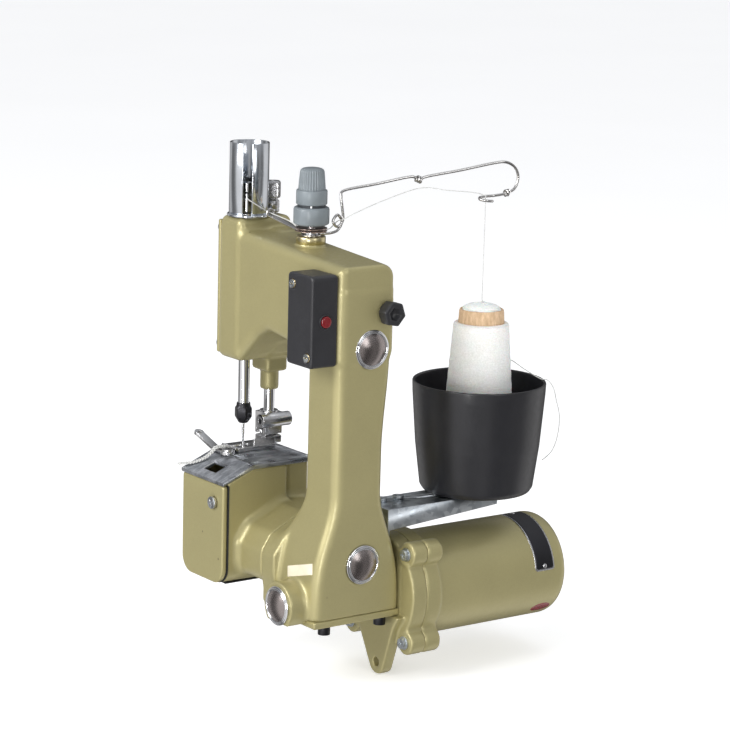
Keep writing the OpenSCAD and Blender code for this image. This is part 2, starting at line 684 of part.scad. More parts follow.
// Hand lever that swings the chain cutter over the plate
knife_bend = 17;
module knife_lever() color(steel) place() {
    rod_z([-124, knife_y, 80], 2, 12);
    rod_z([-124, knife_y, plate_z + 0.1], 5, 2.3);
    rod_z([-124, knife_y, 91.1], 3.5, 1.7);
    translate([-124, knife_y, plate_z + 0.2]) rotate([0, 0, 180]) difference() {
        union() {
            along_y(-3, 3) polygon([[0, 0], [15.5, 0],
                [15.5 + 23 * cos(knife_bend), 23 * sin(knife_bend)],
                [15.5 + 23 * cos(knife_bend) - 2 * sin(knife_bend), 23 * sin(knife_bend) + 2 * cos(knife_bend)],
                [15.2, 2], [0, 2]]);
            translate([15.5, 0, 0]) rotate([0, -knife_bend, 0]) rod_z([23, 0, -0.1], 3.4, 2.2);
        }
        translate([15.5, 0, 0]) rotate([0, -knife_bend, 0]) rod_z([22.5, 0, -2], 1.3, 6);
    }
}

// ---- thread path ----

// Slotted chrome tube over the needle bar's upper end
module needle_guard() color(chrome) place() translate([needle_x, needle_y + 1.5, head_top]) difference() {
    union() {
        cylinder(r = 13.75, h = 51);
        cylinder(r = 15, h = 1.5);
    }
    translate([0, 0, -1]) cylinder(r = 12.4, h = 53);
    rotate([0, 0, -38]) block([0, -3, 1.5], [20, 3, 60]);
    for (a = [140, 250]) rotate([0, 0, a]) translate([13.6, 0, -1]) cylinder(r = 0.8, h = 4);
}

module thread_guide() color(steel) place() {
    difference() {
        union() {
            rod_z([tension[0], tension[1], 249.7], 7, 1);
            translate([tension[0], tension[1], 249.7]) rotate([0, -7, 180]) block([5.7, -3, 0], [50, 3, 1]);
        }
        rod_z([tension[0], tension[1], 248], 3.05, 4);
    }
    translate([-116.5, 38, 258.2]) rotate([0, 90, 0]) rotate_extrude() translate([2.6, 0]) circle(0.8, $fn = 16);
}

module tension_post() color(chrome) place() {
    rod_z([tension[0], tension[1], 235], 2.5, 57.5);
    rod_z([tension[0], tension[1], 250.9], 5, 1.6);
}

module tension_discs() color(chrome) place() translate([tension[0], tension[1], 0]) difference() {
    union() {
        for (z = [252.8, 254.6]) rod_z([0, 0, z], 11, 0.7);
        for (z = [253.4, 254.1]) rod_z([0, 0, z], 4.6, 0.6);
    }
    rod_z([0, 0, 250], 2.55, 8);
}

// Grey plastic spring housing, the numbered collar over it and the ribbed cap
module tension_knob() color(knob_grey) place() translate([tension[0], tension[1], 0]) difference() {
    union() {
        rod_z([0, 0, 257], 12.2, 12.4);
        rod_z([0, 0, 256], 10, 1);
        rod_z([0, 0, 269.4], 9.6, 1.7);
        rod_z([0, 0, 271], 10.6, 10);
        translate([0, 0, 281]) cylinder(r1 = 9.3, r2 = 8.4, h = 12.5);
        translate([0, 0, 293.5]) cylinder(r1 = 8.4, r2 = 7, h = 2);
    }
    for (a = [0:20:359]) rotate([0, 0, a]) translate([9.6, 0, 282.5]) cylinder(r = 0.8, h = 14);
    rod_z([0, 0, 255], 2.55, 38);
}

function along(a, b, t) = a + (b - a) * t;
function cross_of(a, b) = [a[1] * b[2] - a[2] * b[1], a[2] * b[0] - a[0] * b[2], a[0] * b[1] - a[1] * b[0]];
function unit(v) = v / norm(v);

// A tube with n sides swept along points p
module tube(p, r, n = 8) {
    m = len(p);
    dirs = [for (i = [0:m - 1]) unit(p[min(i + 1, m - 1)] - p[max(i - 1, 0)])];
    ref = [0.31, 0.23, 0.92];
    rings = [for (i = [0:m - 1]) let (u = unit(cross_of(dirs[i], ref)), v = cross_of(dirs[i], u))
        for (k = [0:n - 1]) p[i] + r * (cos(k * 360 / n) * u + sin(k * 360 / n) * v)];
    sides = [for (i = [0:m - 2], k = [0:n - 1]) let (a = i * n + k, b = i * n + (k + 1) % n)
        each [[a, b + n, b], [a, a + n, b + n]]];
    polyhedron(rings, concat([[for (k = [0:n - 1]) k]], sides, [[for (k = [n - 1:-1:0]) (m - 1) * n + k]]));
}

// Catmull-Rom curve through the route's points, s steps a stretch
function curve(p, s) = concat([for (i = [0:len(p) - 2], k = [0:s - 1]) let (t = k / s,
    a = p[max(i - 1, 0)], b = p[i], c = p[i + 1], d = p[min(i + 2, len(p) - 1)])
    0.5 * (2 * b + (c - a) * t + (2 * a - 5 * b + 4 * c - d) * t * t + (3 * b - a - 3 * c + d) * t * t * t)],
    [p[len(p) - 1]]);

wire_route = [[-60.2, 41, 251.75], [-58.6, 48, 251.8], [-58.4, 54, 253.5], [-58.2, 57, 259],
    [-57.6, 53, 264], [-57, 48.9, 260], [-56.2, 52, 256.2], [-55.5, 56, 260.5], [-55.4, 55, 270],
    [-56, 54.5, 276], [-57, 58, 280.5], [-52, 80, 284], [-46, 101, 288], [-44, 107, 288],
    [-43, 111, 284.5], [-42, 114, 288], [-35, 138, 292], [-28, 162, 296.5], [-25, 171, 297],
    [-24, 178, 293], [-24, 181, 286], [-24, 178, 278.5], [-24, 170, 275.5], [-24.6, 161, 274.6],
    [-27.8, 156, 274], [-28, 151.3, 273.4], [-24, 148.4, 272.8], [-20, 151.3, 272.2],
    [-20.4, 156, 271.6], [-24, 157.8, 271]];
module guide_wire() color(steel) place() tube(curve(wire_route, 2), wire_d / 2);

// ---- switch ----

module switch_box() color(black) place() difference() {
    along_y(-5, front_y) round_rect([-31, 173], [-2, 234.5], 2.5);
    block([-28.5, -2.5, 187], [-4.5, front_y + 1, 221]);
    rod_x([-6, 6, 204], 4.05, 6);
    for (p = switch_screws) {
        rod_y([p[0], -5.1, p[1]], 3.2, 0.11);
        rod_y([p[0], -6, p[1]], 1.55, 7);
    }
}

module switch_button() color([0.7, 0.1, 0.1]) place() {
    rod_x([-11.5, 6, 204], 2, 5);
    translate([-7, 6, 204]) rotate([0, 90, 0]) rotate_extrude() polygon([[0, 0], [3.95, 0], [3.95, 5.4],
        [3.2, 6.3], [1.8, 6.9], [0, 7.1]]);
}

module switch_unit() color(black) place() block([-26.5, 0, 193], [-14, 13, 215]);

module cord_gland() color(black) place() difference() {
    rod_x([motor_x - 53, 182, motor_z], 6, 22);
    rod_x([motor_x - 54, 182, motor_z], 3.5, 24);
}

// ---- thread stand ----

module bowl_bracket() color(steel) place() difference() {
    union() {
        block([-40, 65.7, bracket_z - 2], [-8, 160, bracket_z]);
        along_x(-10, -8) polygon([[66, bracket_z], [160, bracket_z], [160, bracket_z - 8], [66, 53]]);
        block([-40, 65.7, 49], [-8, 67.7, bracket_z]);
    }
    for (x = bracket_bolts) rod_y([x, 64, 57], 2.05, 6);
    for (y = [76, 90]) rod_z([-30, y, 60], 2.05, 12);
    rod_z([bowl_x, bowl_y, 60], 2.05, 12);
}

module thread_bowl() color(black) place() translate([bowl_x, bowl_y, bracket_z]) difference() {
    rotate_extrude($fn = 96) {
        polygon([[0, 0], [32, 0], [37.5, 1.2], [39.4, 4], [bowl_d / 2, bowl_h], [bowl_d / 2 - 2, bowl_h],
            [37.6, 5], [36, 3], [0, 3]]);
    }
    translate([0, 0, -1]) cylinder(r = 2.05, h = 6);
}

cone_z = bracket_z + 6;
module cone_core() color(paper_tan) place() translate([bowl_x, bowl_y, cone_z]) difference() {
    cylinder(r1 = 22, r2 = 15.4, h = 122);
    translate([0, 0, -1]) cylinder(r1 = 20.5, r2 = 13.9, h = 124);
}

module thread_package() color(thread_white) place() translate([bowl_x, bowl_y, cone_z]) difference() {
    rotate_extrude($fn = 72) polygon([[10, 4], [25.5, 4], [27, 7], [19.4, 111], [18.4, 113], [10, 113]]);
    cylinder(r1 = 22.1, r2 = 15.5, h = 122);
}

module nameplate() color(black) place() translate([motor_x, 181, motor_z]) rotate([-90, 0, 0])
    rotate([0, 0, -98]) rotate_extrude(angle = 91, $fn = 96) translate([motor_d / 2 + 0.05, 0]) square([0.6, 17]);

// ---- threads: each route runs from where the thread leaves the machine ----

upper_route = [[-24, 153, 198], [-24, 153, 235], [-24, 153, 272], [-24.5, 151.6, 275.4],
    [-27, 145, 277.4], [-34, 128, 279], [-43, 111, 280.5], [-48, 84, 273], [-49.5, 61, 265.5],
    [-53, 54.8, 261.5], [-57, 53, 260], [-60.4, 51.8, 256.8], [-60.9, 49.2, 254.5],
    [-60.9, 45.5, 254.05],
    [-60.9, 38.6, 254.05], [-62.2, 34, 254.05], [-66.4, 31.8, 254.05], [-72, 33, 254.05],
    [-78.5, 34.6, 254.1], [-92, 36.3, 256.6], [-116.5, 38, 258.3], [-118.3, 31.5, 262],
    [-119, 25, 266], [-120.9, 21.8, 268.6], [-124, 23.4, 270.1], [-128.4, 26.2, 271]];
tail_route = [[-133, 27, 90.05], [-133, 22, 90.1], [-133, 18, 90.9], [-132.6, 15, 92.6],
    [-132, 11, 92.9], [-132, 6.3, 92.7], [-132.2, 3, 89.6], [-133.5, -2, 85.9], [-137, -8.5, 83],
    [-143, -13, 81.5], [-150, -17, 80]];
loose_route = [[-26.5, 175.3, 157], [-20, 177.2, 158.6], [-8, 180, 154], [2.6, 185.6, 148.8],
    [6.6, 189, 148], [9.5, 192, 143], [11, 194, 134], [11.5, 197, 122], [10, 197, 108],
    [7, 195, 97], [2, 191, 90]];

module needle_thread() color(thread_white) place() tube(curve(upper_route, 2), thread_d / 2);
module chain_tail() color(thread_white) place() tube(curve(tail_route, 2), 0.9);
module loose_thread() color(thread_white) place() tube(curve(loose_route, 2), thread_d / 2);

// ---- output ----

body_casting();
bed_casting();
face_plate();
rear_cover();
looper_cover();
base_plate();
box_floor();
cover_screws();
base_screws();
needle_plate();
end_caps();
oil_plug();
gearbox_flange();
motor_housing();
motor_screws();
stator();
armature();
cooling_fan();
motor_shaft();
brushes();
ball_bearings();
worm_wheel();
lower_shaft();
upper_shaft();
shaft_bushes();
lower_pulley();
upper_pulley();
drive_belt();
needle_crank();
needle_link();
needle_bar();
needle_clamp();
needle();
presser_bar();
presser_spring();
presser_screw();
foot_holder();
presser_foot();
lifter_lever();
looper();
feed_dog();
knife_lever();
needle_guard();
thread_guide();
tension_post();
tension_discs();
tension_knob();
guide_wire();
switch_box();
switch_button();
switch_unit();
cord_gland();
bowl_bracket();
thread_bowl();
cone_core();
thread_package();
nameplate();
needle_thread();
chain_tail();
loose_thread();
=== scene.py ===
import json
import math
import bpy
import numpy as np
from mathutils import Vector, Matrix

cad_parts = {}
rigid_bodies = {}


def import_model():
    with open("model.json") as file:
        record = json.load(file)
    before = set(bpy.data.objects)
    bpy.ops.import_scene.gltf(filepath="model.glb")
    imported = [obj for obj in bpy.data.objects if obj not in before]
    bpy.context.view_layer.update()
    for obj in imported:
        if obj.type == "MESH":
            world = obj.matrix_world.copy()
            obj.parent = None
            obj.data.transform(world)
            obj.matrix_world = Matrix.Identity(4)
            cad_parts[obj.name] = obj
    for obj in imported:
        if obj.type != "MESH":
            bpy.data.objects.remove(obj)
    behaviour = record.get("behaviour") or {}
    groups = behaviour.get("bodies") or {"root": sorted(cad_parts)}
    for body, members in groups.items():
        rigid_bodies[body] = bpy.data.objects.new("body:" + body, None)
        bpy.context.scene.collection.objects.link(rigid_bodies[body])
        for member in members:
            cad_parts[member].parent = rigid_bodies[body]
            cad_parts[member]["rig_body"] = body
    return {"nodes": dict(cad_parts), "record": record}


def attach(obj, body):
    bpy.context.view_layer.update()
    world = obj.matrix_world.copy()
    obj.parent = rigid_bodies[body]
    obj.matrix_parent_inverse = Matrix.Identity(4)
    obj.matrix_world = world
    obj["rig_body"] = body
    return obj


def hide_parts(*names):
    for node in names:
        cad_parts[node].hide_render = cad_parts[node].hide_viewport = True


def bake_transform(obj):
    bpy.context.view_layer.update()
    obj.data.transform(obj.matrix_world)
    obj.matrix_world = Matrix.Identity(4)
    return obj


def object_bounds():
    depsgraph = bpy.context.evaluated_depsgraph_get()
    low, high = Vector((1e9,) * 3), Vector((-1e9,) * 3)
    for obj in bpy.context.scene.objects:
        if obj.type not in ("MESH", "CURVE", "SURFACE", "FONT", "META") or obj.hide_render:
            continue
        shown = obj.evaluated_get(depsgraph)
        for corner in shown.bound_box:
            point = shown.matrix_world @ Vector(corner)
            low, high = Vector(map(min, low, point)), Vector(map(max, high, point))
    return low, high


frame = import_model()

CAD_BOX = [list(v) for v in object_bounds()]
N = frame["nodes"]
SLOT = {s["node"]: s["material_slot"] for s in frame["record"]["subparts"]}

# Datum of the drawing: the lower front corner of the column's end face, in the row frame (metres).
EAR = np.array([-18.0, 70.5, -42.0])


# Axes of the drawing (mm): two cross shafts at (y, z), the motor at (x, z) and the upright parts at (x, y)
UPPER, LOWER, MOTOR = (42.6, 182.6), (39.6, 35.3), (-25, 8)
NEEDLE, PRESSER, TENSION, CONE = (-133, 29.5), (-133, 51), (-67, 38), (-24, 153)


def W(p):
    """Drawing millimetres to row-frame metres."""
    return (np.asarray(p, float) - EAR) / 1000


# ---------------------------------------------------------------- camera
# Fitted to the photo: the view's angles, the distance (m) to the drawing's origin, the focal length in picture
# widths, and how far right of and below the picture's middle the origin lies, as slopes from the view axis
AZ, EL, ROLL = (math.radians(v) for v in (54.0, 11.7, 1.5))
DIST = 1.9
FOCAL = 3.9041096
SENSOR = 36
ORIGIN_RIGHT, ORIGIN_DOWN = -0.01824561, 0.09087719
back = Vector((math.sin(AZ) * math.cos(EL), -math.cos(AZ) * math.cos(EL), math.sin(EL)))
flat_right = Vector((math.cos(AZ), math.sin(AZ), 0))
flat_up = back.cross(flat_right)
right = flat_right * math.cos(ROLL) + flat_up * math.sin(ROLL)
up = -flat_right * math.sin(ROLL) + flat_up * math.cos(ROLL)
cam_data = bpy.data.cameras.new("camera")
cam = bpy.data.objects.new("camera", cam_data)
bpy.context.scene.collection.objects.link(cam)
bpy.context.scene.camera = cam
cam_data.sensor_width = SENSOR
cam_data.lens = FOCAL * SENSOR
cam_data.clip_start, cam_data.clip_end = 0.05, 20
cam_pose = Matrix((right, up, back)).transposed().to_4x4()
cam_pose.translation = Vector(W((0, 0, 0))) - (right * ORIGIN_RIGHT - up * ORIGIN_DOWN - back) * DIST
cam.matrix_world = cam_pose



# ---------------------------------------------------------------- mesh helpers
def add(name, verts, faces, mat, body, replaces=(), slot=None, smooth=True, mats=None, mat_of=None):
    """One visible piece from drawing coordinates; mats and mat_of give it a material for each face."""
    me = bpy.data.meshes.new(name)
    me.from_pydata(W(verts).tolist(), [], [list(map(int, f)) for f in faces])
    me.update()
    o = bpy.data.objects.new(name, me)
    bpy.context.scene.collection.objects.link(o)
    for q in (mats or [mat]):
        me.materials.append(q)
    if mat_of is not None:
        me.polygons.foreach_set("material_index", np.asarray(mat_of, np.int32))
    me.polygons.foreach_set("use_smooth", [smooth] * len(me.polygons))
    if replaces:
        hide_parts(*replaces)
    if slot is None and replaces:
        slot = SLOT[replaces[0]]
    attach(o, body)
    return o


def join_parts(parts):
    """[(verts, faces[, material number]), ...] to one mesh, with a material number for each face."""
    V, F, M, n = [], [], [], 0
    for part in parts:
        v, f = part[0], part[1]
        V.append(np.asarray(v, float))
        F += [[i + n for i in q] for q in f]
        M += [part[2] if len(part) > 2 else 0] * len(f)
        n += len(v)
    return np.vstack(V), F, M


AXES = {
    "x": ((0, 1, 0), (0, 0, 1), (1, 0, 0)),
    "-x": ((0, 0, 1), (0, 1, 0), (-1, 0, 0)),
    "y": ((0, 0, 1), (1, 0, 0), (0, 1, 0)),
    "-y": ((1, 0, 0), (0, 0, 1), (0, -1, 0)),
    "z": ((1, 0, 0), (0, 1, 0), (0, 0, 1)),
    "-z": ((0, 1, 0), (1, 0, 0), (0, 0, -1)),
}


def put(verts, at, axis):
    """Local z along axis, from the point at."""
    e = np.array(AXES[axis] if isinstance(axis, str) else axis, float)
    return np.asarray(verts, float) @ e + np.asarray(at, float)


def lathe(profile, n=64, at=(0, 0, 0), axis="z", wave=None):
    """Profile [(r, z), ...] turned about the axis; wave(i, angles) scales the radii of ring i."""
    a = np.arange(n) * 2 * math.pi / n
    rings, V, F = [], [], []
    for i, (r, z) in enumerate(profile):
        if r < 1e-6:
            rings.append([len(V)] * n)
            V.append((0, 0, z))
        else:
            rr = r * (wave(i, a) if wave else 1.0) * np.ones(n)
            rings.append(list(range(len(V), len(V) + n)))
            V += list(zip(rr * np.cos(a), rr * np.sin(a), [z] * n))
    for p, q in zip(rings, rings[1:]):
        for k in range(n):
            f = [p[k], p[(k + 1) % n], q[(k + 1) % n], q[k]]
            f = [x for j, x in enumerate(f) if x not in f[:j]]
            if len(f) > 2:
                F.append(f)
    return put(V, at, axis), F


def soften(profile, r=0.5, n=3):
    """Rounds the inner corners of a profile by r."""
    out = [profile[0]]
    for a, b, c in zip(profile, profile[1:], profile[2:]):
        a, b, c = (np.array(q, float) for q in (a, b, c))
        u, v = a - b, c - b
        lu, lv = np.linalg.norm(u), np.linalg.norm(v)
        if lu < 1e-9 or lv < 1e-9:
            continue
        d = min(r, lu * 0.45, lv * 0.45)
        p, q = b + u / lu * d, b + v / lv * d
        for t in np.linspace(0, 1, n + 1):
            out.append(tuple((1 - t) ** 2 * p + 2 * t * (1 - t) * b + t * t * q))
    out.append(profile[-1])
    return out


def catmull(p, s):
    """A smooth curve through the points p, with s steps between neighbours."""
    p = np.asarray(p, float)
    out = []
    for i in range(len(p) - 1):
        a, b, c, d = p[max(i - 1, 0)], p[i], p[i + 1], p[min(i + 2, len(p) - 1)]
        for k in range(s):
            t = k / s
            out.append(0.5 * (2 * b + (c - a) * t + (2 * a - 5 * b + 4 * c - d) * t * t
                              + (3 * b - a - 3 * c + d) * t ** 3))
    out.append(p[-1])
    return np.array(out)


def frames(p):
    """Direction and two cross directions, without twist, at each point of a path."""
    d = np.gradient(p, axis=0)
    d /= np.linalg.norm(d, axis=1)[:, None]
    ref = np.array([0.31, 0.23, 0.92])
    u = np.cross(d[0], ref)
    us = []
    for t in d:
        u = u - t * (u @ t)
        u = u / np.linalg.norm(u)
        us.append(u.copy())
    us = np.array(us)
    return d, us, np.cross(d, us)


def tube(p, r, n=10):
    """A closed tube along points p; r may change along it."""
    p = np.asarray(p, float)
    _, u, v = frames(p)
    r = np.ones(len(p)) * r
    a = np.arange(n) * 2 * math.pi / n
    spoke = u[:, None] * np.cos(a)[None, :, None] + v[:, None] * np.sin(a)[None, :, None]
    V = (p[:, None] + r[:, None, None] * spoke).reshape(-1, 3)
    F = [[i * n + k, i * n + (k + 1) % n, (i + 1) * n + (k + 1) % n, (i + 1) * n + k]
         for i in range(len(p) - 1) for k in range(n)]
    F.append([n - 1 - k for k in range(n)])
    F.append([(len(p) - 1) * n + k for k in range(n)])
    return V, F


def rbox(a, b, r=1.0, seg=4):
    """A box with round edges from corner a to corner b."""
    a, b = np.array(a, float), np.array(b, float)
    c, h = (a + b) / 2, (b - a) / 2
    r = min(r, *(h * 0.98))
    steps = []
    for k in range(3):
        inner = h[k] - r
        t = [-inner - r * math.cos(q) for q in np.linspace(0, math.pi / 2, seg + 1)]
        steps.append(np.array(t + [-x for x in reversed(t)]))
    V, F, index = [], [], {}

    def vert(q):
        key = tuple(np.round(q, 5))
        if key not in index:
            core = np.clip(q, -(h - r), h - r)
            d = q - core
            nrm = np.linalg.norm(d)
            index[key] = len(V)
            V.append(c + core + (d / nrm * r if nrm > 1e-9 else d))
        return index[key]

    for k in range(3):
        i, j = (k + 1) % 3, (k + 2) % 3
        for s in (-1, 1):
            for p in range(len(steps[i]) - 1):
                for q in range(len(steps[j]) - 1):
                    f = []
                    for dp, dq in ((0, 0), (1, 0), (1, 1), (0, 1)):
                        w = np.zeros(3)
                        w[k], w[i], w[j] = s * h[k], steps[i][p + dp], steps[j][q + dq]
                        f.append(vert(w))
                    F.append(f if s > 0 else f[::-1])
    return np.array(V), F


# ---------------------------------------------------------------- castings as distance fields
def poly(px, py, pts):
    """Signed distance to a closed polygon, negative inside, on a 2-D grid."""
    d = np.full(np.broadcast(px, py).shape, 1e9)
    inside = np.zeros(d.shape, bool)
    n = len(pts)
    for i in range(n):
        (x0, y0), (x1, y1) = pts[i], pts[(i + 1) % n]
        ex, ey = x1 - x0, y1 - y0
        L = ex * ex + ey * ey
        if L < 1e-12:
            continue
        wx, wy = px - x0, py - y0
        t = np.clip((wx * ex + wy * ey) / L, 0, 1)
        d = np.minimum(d, (wx - ex * t) ** 2 + (wy - ey * t) ** 2)
        cross = ex * wy - ey * wx
        inside ^= ((y0 <= py) & (y1 > py) & (cross > 0)) | ((y1 <= py) & (y0 > py) & (cross < 0))
    d = np.sqrt(d)
    return np.where(inside, -d, d)


def meet(a, b, r):
    """Intersection with the edge rounded by r."""
    return np.minimum(-r, np.maximum(a, b)) + np.sqrt(np.maximum(a + r, 0) ** 2 + np.maximum(b + r, 0) ** 2)


def both(a, b, r):
    """Union with a fillet of radius r."""
    return np.maximum(r, np.minimum(a, b)) - np.sqrt(np.maximum(r - a, 0) ** 2 + np.maximum(r - b, 0) ** 2)


def cut(a, b, r=0.0):
    """Takes b out of a, with the edge rounded by r."""
    return np.maximum(a, -b) if r <= 0 else meet(a, -b, r)


class Field:
    """A grid from corner lo to corner hi with step h, on which distances are worked out."""

    def __init__(self, lo, hi, h):
        self.lo, self.h = np.array(lo, float), h
        n = [int(math.ceil((hi[k] - lo[k]) / h)) + 1 for k in range(3)]
        g = [np.float32(lo[k]) + np.float32(h) * np.arange(n[k], dtype=np.float32) for k in range(3)]
        self.x, self.y, self.z = g[0][:, None, None], g[1][None, :, None], g[2][None, None, :]
        self.g = g

    # Distances to an outline that runs on along the third axis
    def yz(self, pts):
        return poly(self.g[1][:, None], self.g[2][None, :], pts).astype(np.float32)[None, :, :]

    def xz(self, pts):
        return poly(self.g[0][:, None], self.g[2][None, :], pts).astype(np.float32)[:, None, :]

    def slab(self, axis, a, b):
        c = (self.x, self.y, self.z)["xyz".index(axis)]
        return np.abs(c - (a + b) / 2) - (b - a) / 2

    def box(self, a, b, r=0.0):
        q = [np.abs((self.x, self.y, self.z)[k] - (a[k] + b[k]) / 2) - (b[k] - a[k]) / 2 + r for k in range(3)]
        out = np.sqrt(sum(np.maximum(t, 0) ** 2 for t in q))
        return out + np.minimum(np.maximum(q[0], np.maximum(q[1], q[2])), 0) - r

    def rod(self, axis, p, r, a0, a1, edge=0.0):
        c = {"x": (self.y, self.z), "y": (self.x, self.z), "z": (self.x, self.y)}[axis]
        d = np.sqrt((c[0] - p[0]) ** 2 + (c[1] - p[1]) ** 2) - r
        s = self.slab(axis, a0, a1)
        return meet(d, s, edge) if edge > 0 else np.maximum(d, s)

    def mesh(self, v):
        """The surface v = 0 as quads, one corner in each cell that it crosses (surface nets)."""
        v = np.asarray(v, np.float32)
        s = v < 0
        nx, ny, nz = v.shape
        corners = [(i, j, k) for i in (0, 1) for j in (0, 1) for k in (0, 1)]
        cnt = sum(s[i:nx - 1 + i, j:ny - 1 + j, k:nz - 1 + k].astype(np.int8) for i, j, k in corners)
        act = (cnt > 0) & (cnt < 8)
        idx = np.full(act.shape, -1, np.int64)
        I, J, K = np.nonzero(act)
        idx[I, J, K] = np.arange(len(I))
        acc, num = np.zeros((len(I), 3)), np.zeros(len(I))
        for a in corners:
            for k in range(3):
                if a[k]:
                    continue
                b = list(a)
                b[k] = 1
                va = v[I + a[0], J + a[1], K + a[2]]
                vb = v[I + b[0], J + b[1], K + b[2]]
                hit = (va < 0) != (vb < 0)
                t = va[hit] / (va[hit] - vb[hit])
                p = np.tile(np.array(a, float), (len(t), 1))
                p[:, k] = t
                acc[hit] += p
                num[hit] += 1
        V = self.lo + self.h * (np.stack([I, J, K], 1) + acc / num[:, None])
        F = []
        for axis, (p, q) in enumerate(((1, 2), (2, 0), (0, 1))):
            sl0, sl1 = [slice(None)] * 3, [slice(None)] * 3
            sl0[axis], sl1[axis] = slice(0, -1), slice(1, None)
            a, b = s[tuple(sl0)], s[tuple(sl1)]
            I, J, K = np.nonzero(a != b)
            c = np.stack([I, J, K], 1)
            ok = (c[:, p] > 0) & (c[:, q] > 0) & (c[:, p] < v.shape[p] - 1) & (c[:, q] < v.shape[q] - 1)
            c = c[ok]
            if not len(c):
                continue
            dp, dq = np.eye(3, dtype=int)[[p, q]]
            quad = np.stack([idx[tuple((c - d).T)] for d in (dp + dq, dq, 0 * dp, dp)], 1)
            flip = ~a[tuple(c.T)]
            quad[flip] = quad[flip][:, ::-1]
            F.append(quad)
        return V, np.vstack(F)


def ease(t):
    """0 to 1 with a soft start and end."""
    t = np.clip(t, 0, 1)
    return (1 - np.cos(np.pi * t)) / 2


# Where the column's front, rear and left faces are at height z: it grows thicker and wider towards its foot
def flare(z):
    return ease(np.power(np.clip(z / 84.0, 0, 1), 1.5))


def col_front(z):
    return 1 + 15 * flare(z)


def col_rear(z):
    return 72 - 16.5 * flare(z) + 4.5 * ease((z - 110) / 70)


def col_left(z):
    return -(65 - 28 * ease((z - 14) / 72))


def fillet(pts, radii, n=6):
    """Polygon with each corner rounded by its radius."""
    out = []
    count = len(pts)
    for i in range(count):
        a, b, c = (np.array(pts[(i + k) % count], float) for k in (-1, 0, 1))
        r = radii[i]
        if r <= 0:
            out.append(tuple(b))
            continue
        u, v = (a - b) / np.linalg.norm(a - b), (c - b) / np.linalg.norm(c - b)
        half = math.acos(np.clip(u @ v, -1, 1)) / 2
        if abs(half - math.pi / 2) < 0.02:
            out.append(tuple(b))
            continue
        t = min(r / math.tan(half), 0.49 * np.linalg.norm(a - b), 0.49 * np.linalg.norm(c - b))
        r = t * math.tan(half)
        o = b + (u + v) / np.linalg.norm(u + v) * (r / math.sin(half))
        p0, p1 = b + u * t - o, b + v * t - o
        a0, a1 = math.atan2(p0[1], p0[0]), math.atan2(p1[1], p1[0])
        da = (a1 - a0 + math.pi) % (2 * math.pi) - math.pi
        for k in range(n + 1):
            q = a0 + da * k / n
            out.append((o[0] + r * math.cos(q), o[1] + r * math.sin(q)))
    return out


# ---------------------------------------------------------------- materials
class Nodes:
    """A small builder for a shader node tree."""

    def __init__(self, tree):
        self.t = tree

    def feed(self, socket, v):
        if isinstance(v, bpy.types.NodeSocket):
            self.t.links.new(v, socket)
        else:
            socket.default_value = v

    def node(self, kind, props=None, **inputs):
        n = self.t.nodes.new(kind)
        for k, v in (props or {}).items():
            setattr(n, k, v)
        for k, v in inputs.items():
            self.feed(n.inputs[k.replace("_", " ")], v)
        return n

    def math(self, op, a, b=0.0):
        n = self.node("ShaderNodeMath", {"operation": op})
        self.feed(n.inputs[0], a)
        self.feed(n.inputs[1], b)
        return n.outputs[0]

    def mixc(self, fac, a, b):
        n = self.node("ShaderNodeMix", {"data_type": "RGBA"})
        self.feed(n.inputs[0], fac)
        for socket, v in ((n.inputs[6], a), (n.inputs[7], b)):
            self.feed(socket, (*v, 1) if isinstance(v, tuple) else v)
        return n.outputs[2]

    def span(self, v, a, b, c, d):
        """Maps a..b to c..d."""
        n = self.node("ShaderNodeMapRange", {"clamp": True}, Value=v)
        for k, q in enumerate((a, b, c, d), 1):
            n.inputs[k].default_value = q
        return n.outputs[0]


class Look(Nodes):
    """One material round a Principled shader."""

    def __init__(self, name, base, metallic=0.0, rough=0.5, **more):
        self.m = bpy.data.materials.new(name)
        self.m.use_nodes = True
        super().__init__(self.m.node_tree)
        self.t.nodes.clear()
        out = self.t.nodes.new("ShaderNodeOutputMaterial")
        self.p = self.t.nodes.new("ShaderNodeBsdfPrincipled")
        self.t.links.new(self.p.outputs[0], out.inputs[0])
        self.p.inputs["Base Color"].default_value = (*base, 1)
        self.p.inputs["Metallic"].default_value = metallic
        self.p.inputs["Roughness"].default_value = rough
        for k, v in more.items():
            self.p.inputs[k.replace("_", " ")].default_value = v
        self.m.diffuse_color = (*base, 1)
        self.co = self.t.nodes.new("ShaderNodeTexCoord").outputs["Object"]

    def noise(self, scale, detail=2.0, rough=0.5, stretch=None):
        vec = self.co
        if stretch:
            vec = self.node("ShaderNodeMapping", Vector=vec, Scale=stretch).outputs[0]
        n = self.node("ShaderNodeTexNoise", Vector=vec, Scale=scale, Detail=detail, Roughness=rough)
        return n.outputs["Fac"]

    def cells(self, scale, out="Distance"):
        return self.node("ShaderNodeTexVoronoi", Vector=self.co, Scale=scale).outputs[out]

    def color(self, socket):
        self.t.links.new(socket, self.p.inputs["Base Color"])

    def rough(self, socket):
        self.t.links.new(socket, self.p.inputs["Roughness"])

    def bump(self, height, strength=0.2, dist=0.0003):
        old = self.p.inputs["Normal"].links[0].from_socket if self.p.inputs["Normal"].links else None
        n = self.node("ShaderNodeBump", Height=height, Strength=strength, Distance=dist)
        if old:
            self.t.links.new(old, n.inputs["Normal"])
        self.t.links.new(n.outputs[0], self.p.inputs["Normal"])

    def edge(self, radius):
        b = self.node("ShaderNodeBevel", {"samples": 4}, Radius=radius)
        self.t.links.new(b.outputs[0], self.p.inputs["Normal"])


def tint(c, k):
    """A colour made k times as bright."""
    return tuple(min(1.0, x * k) for x in c)


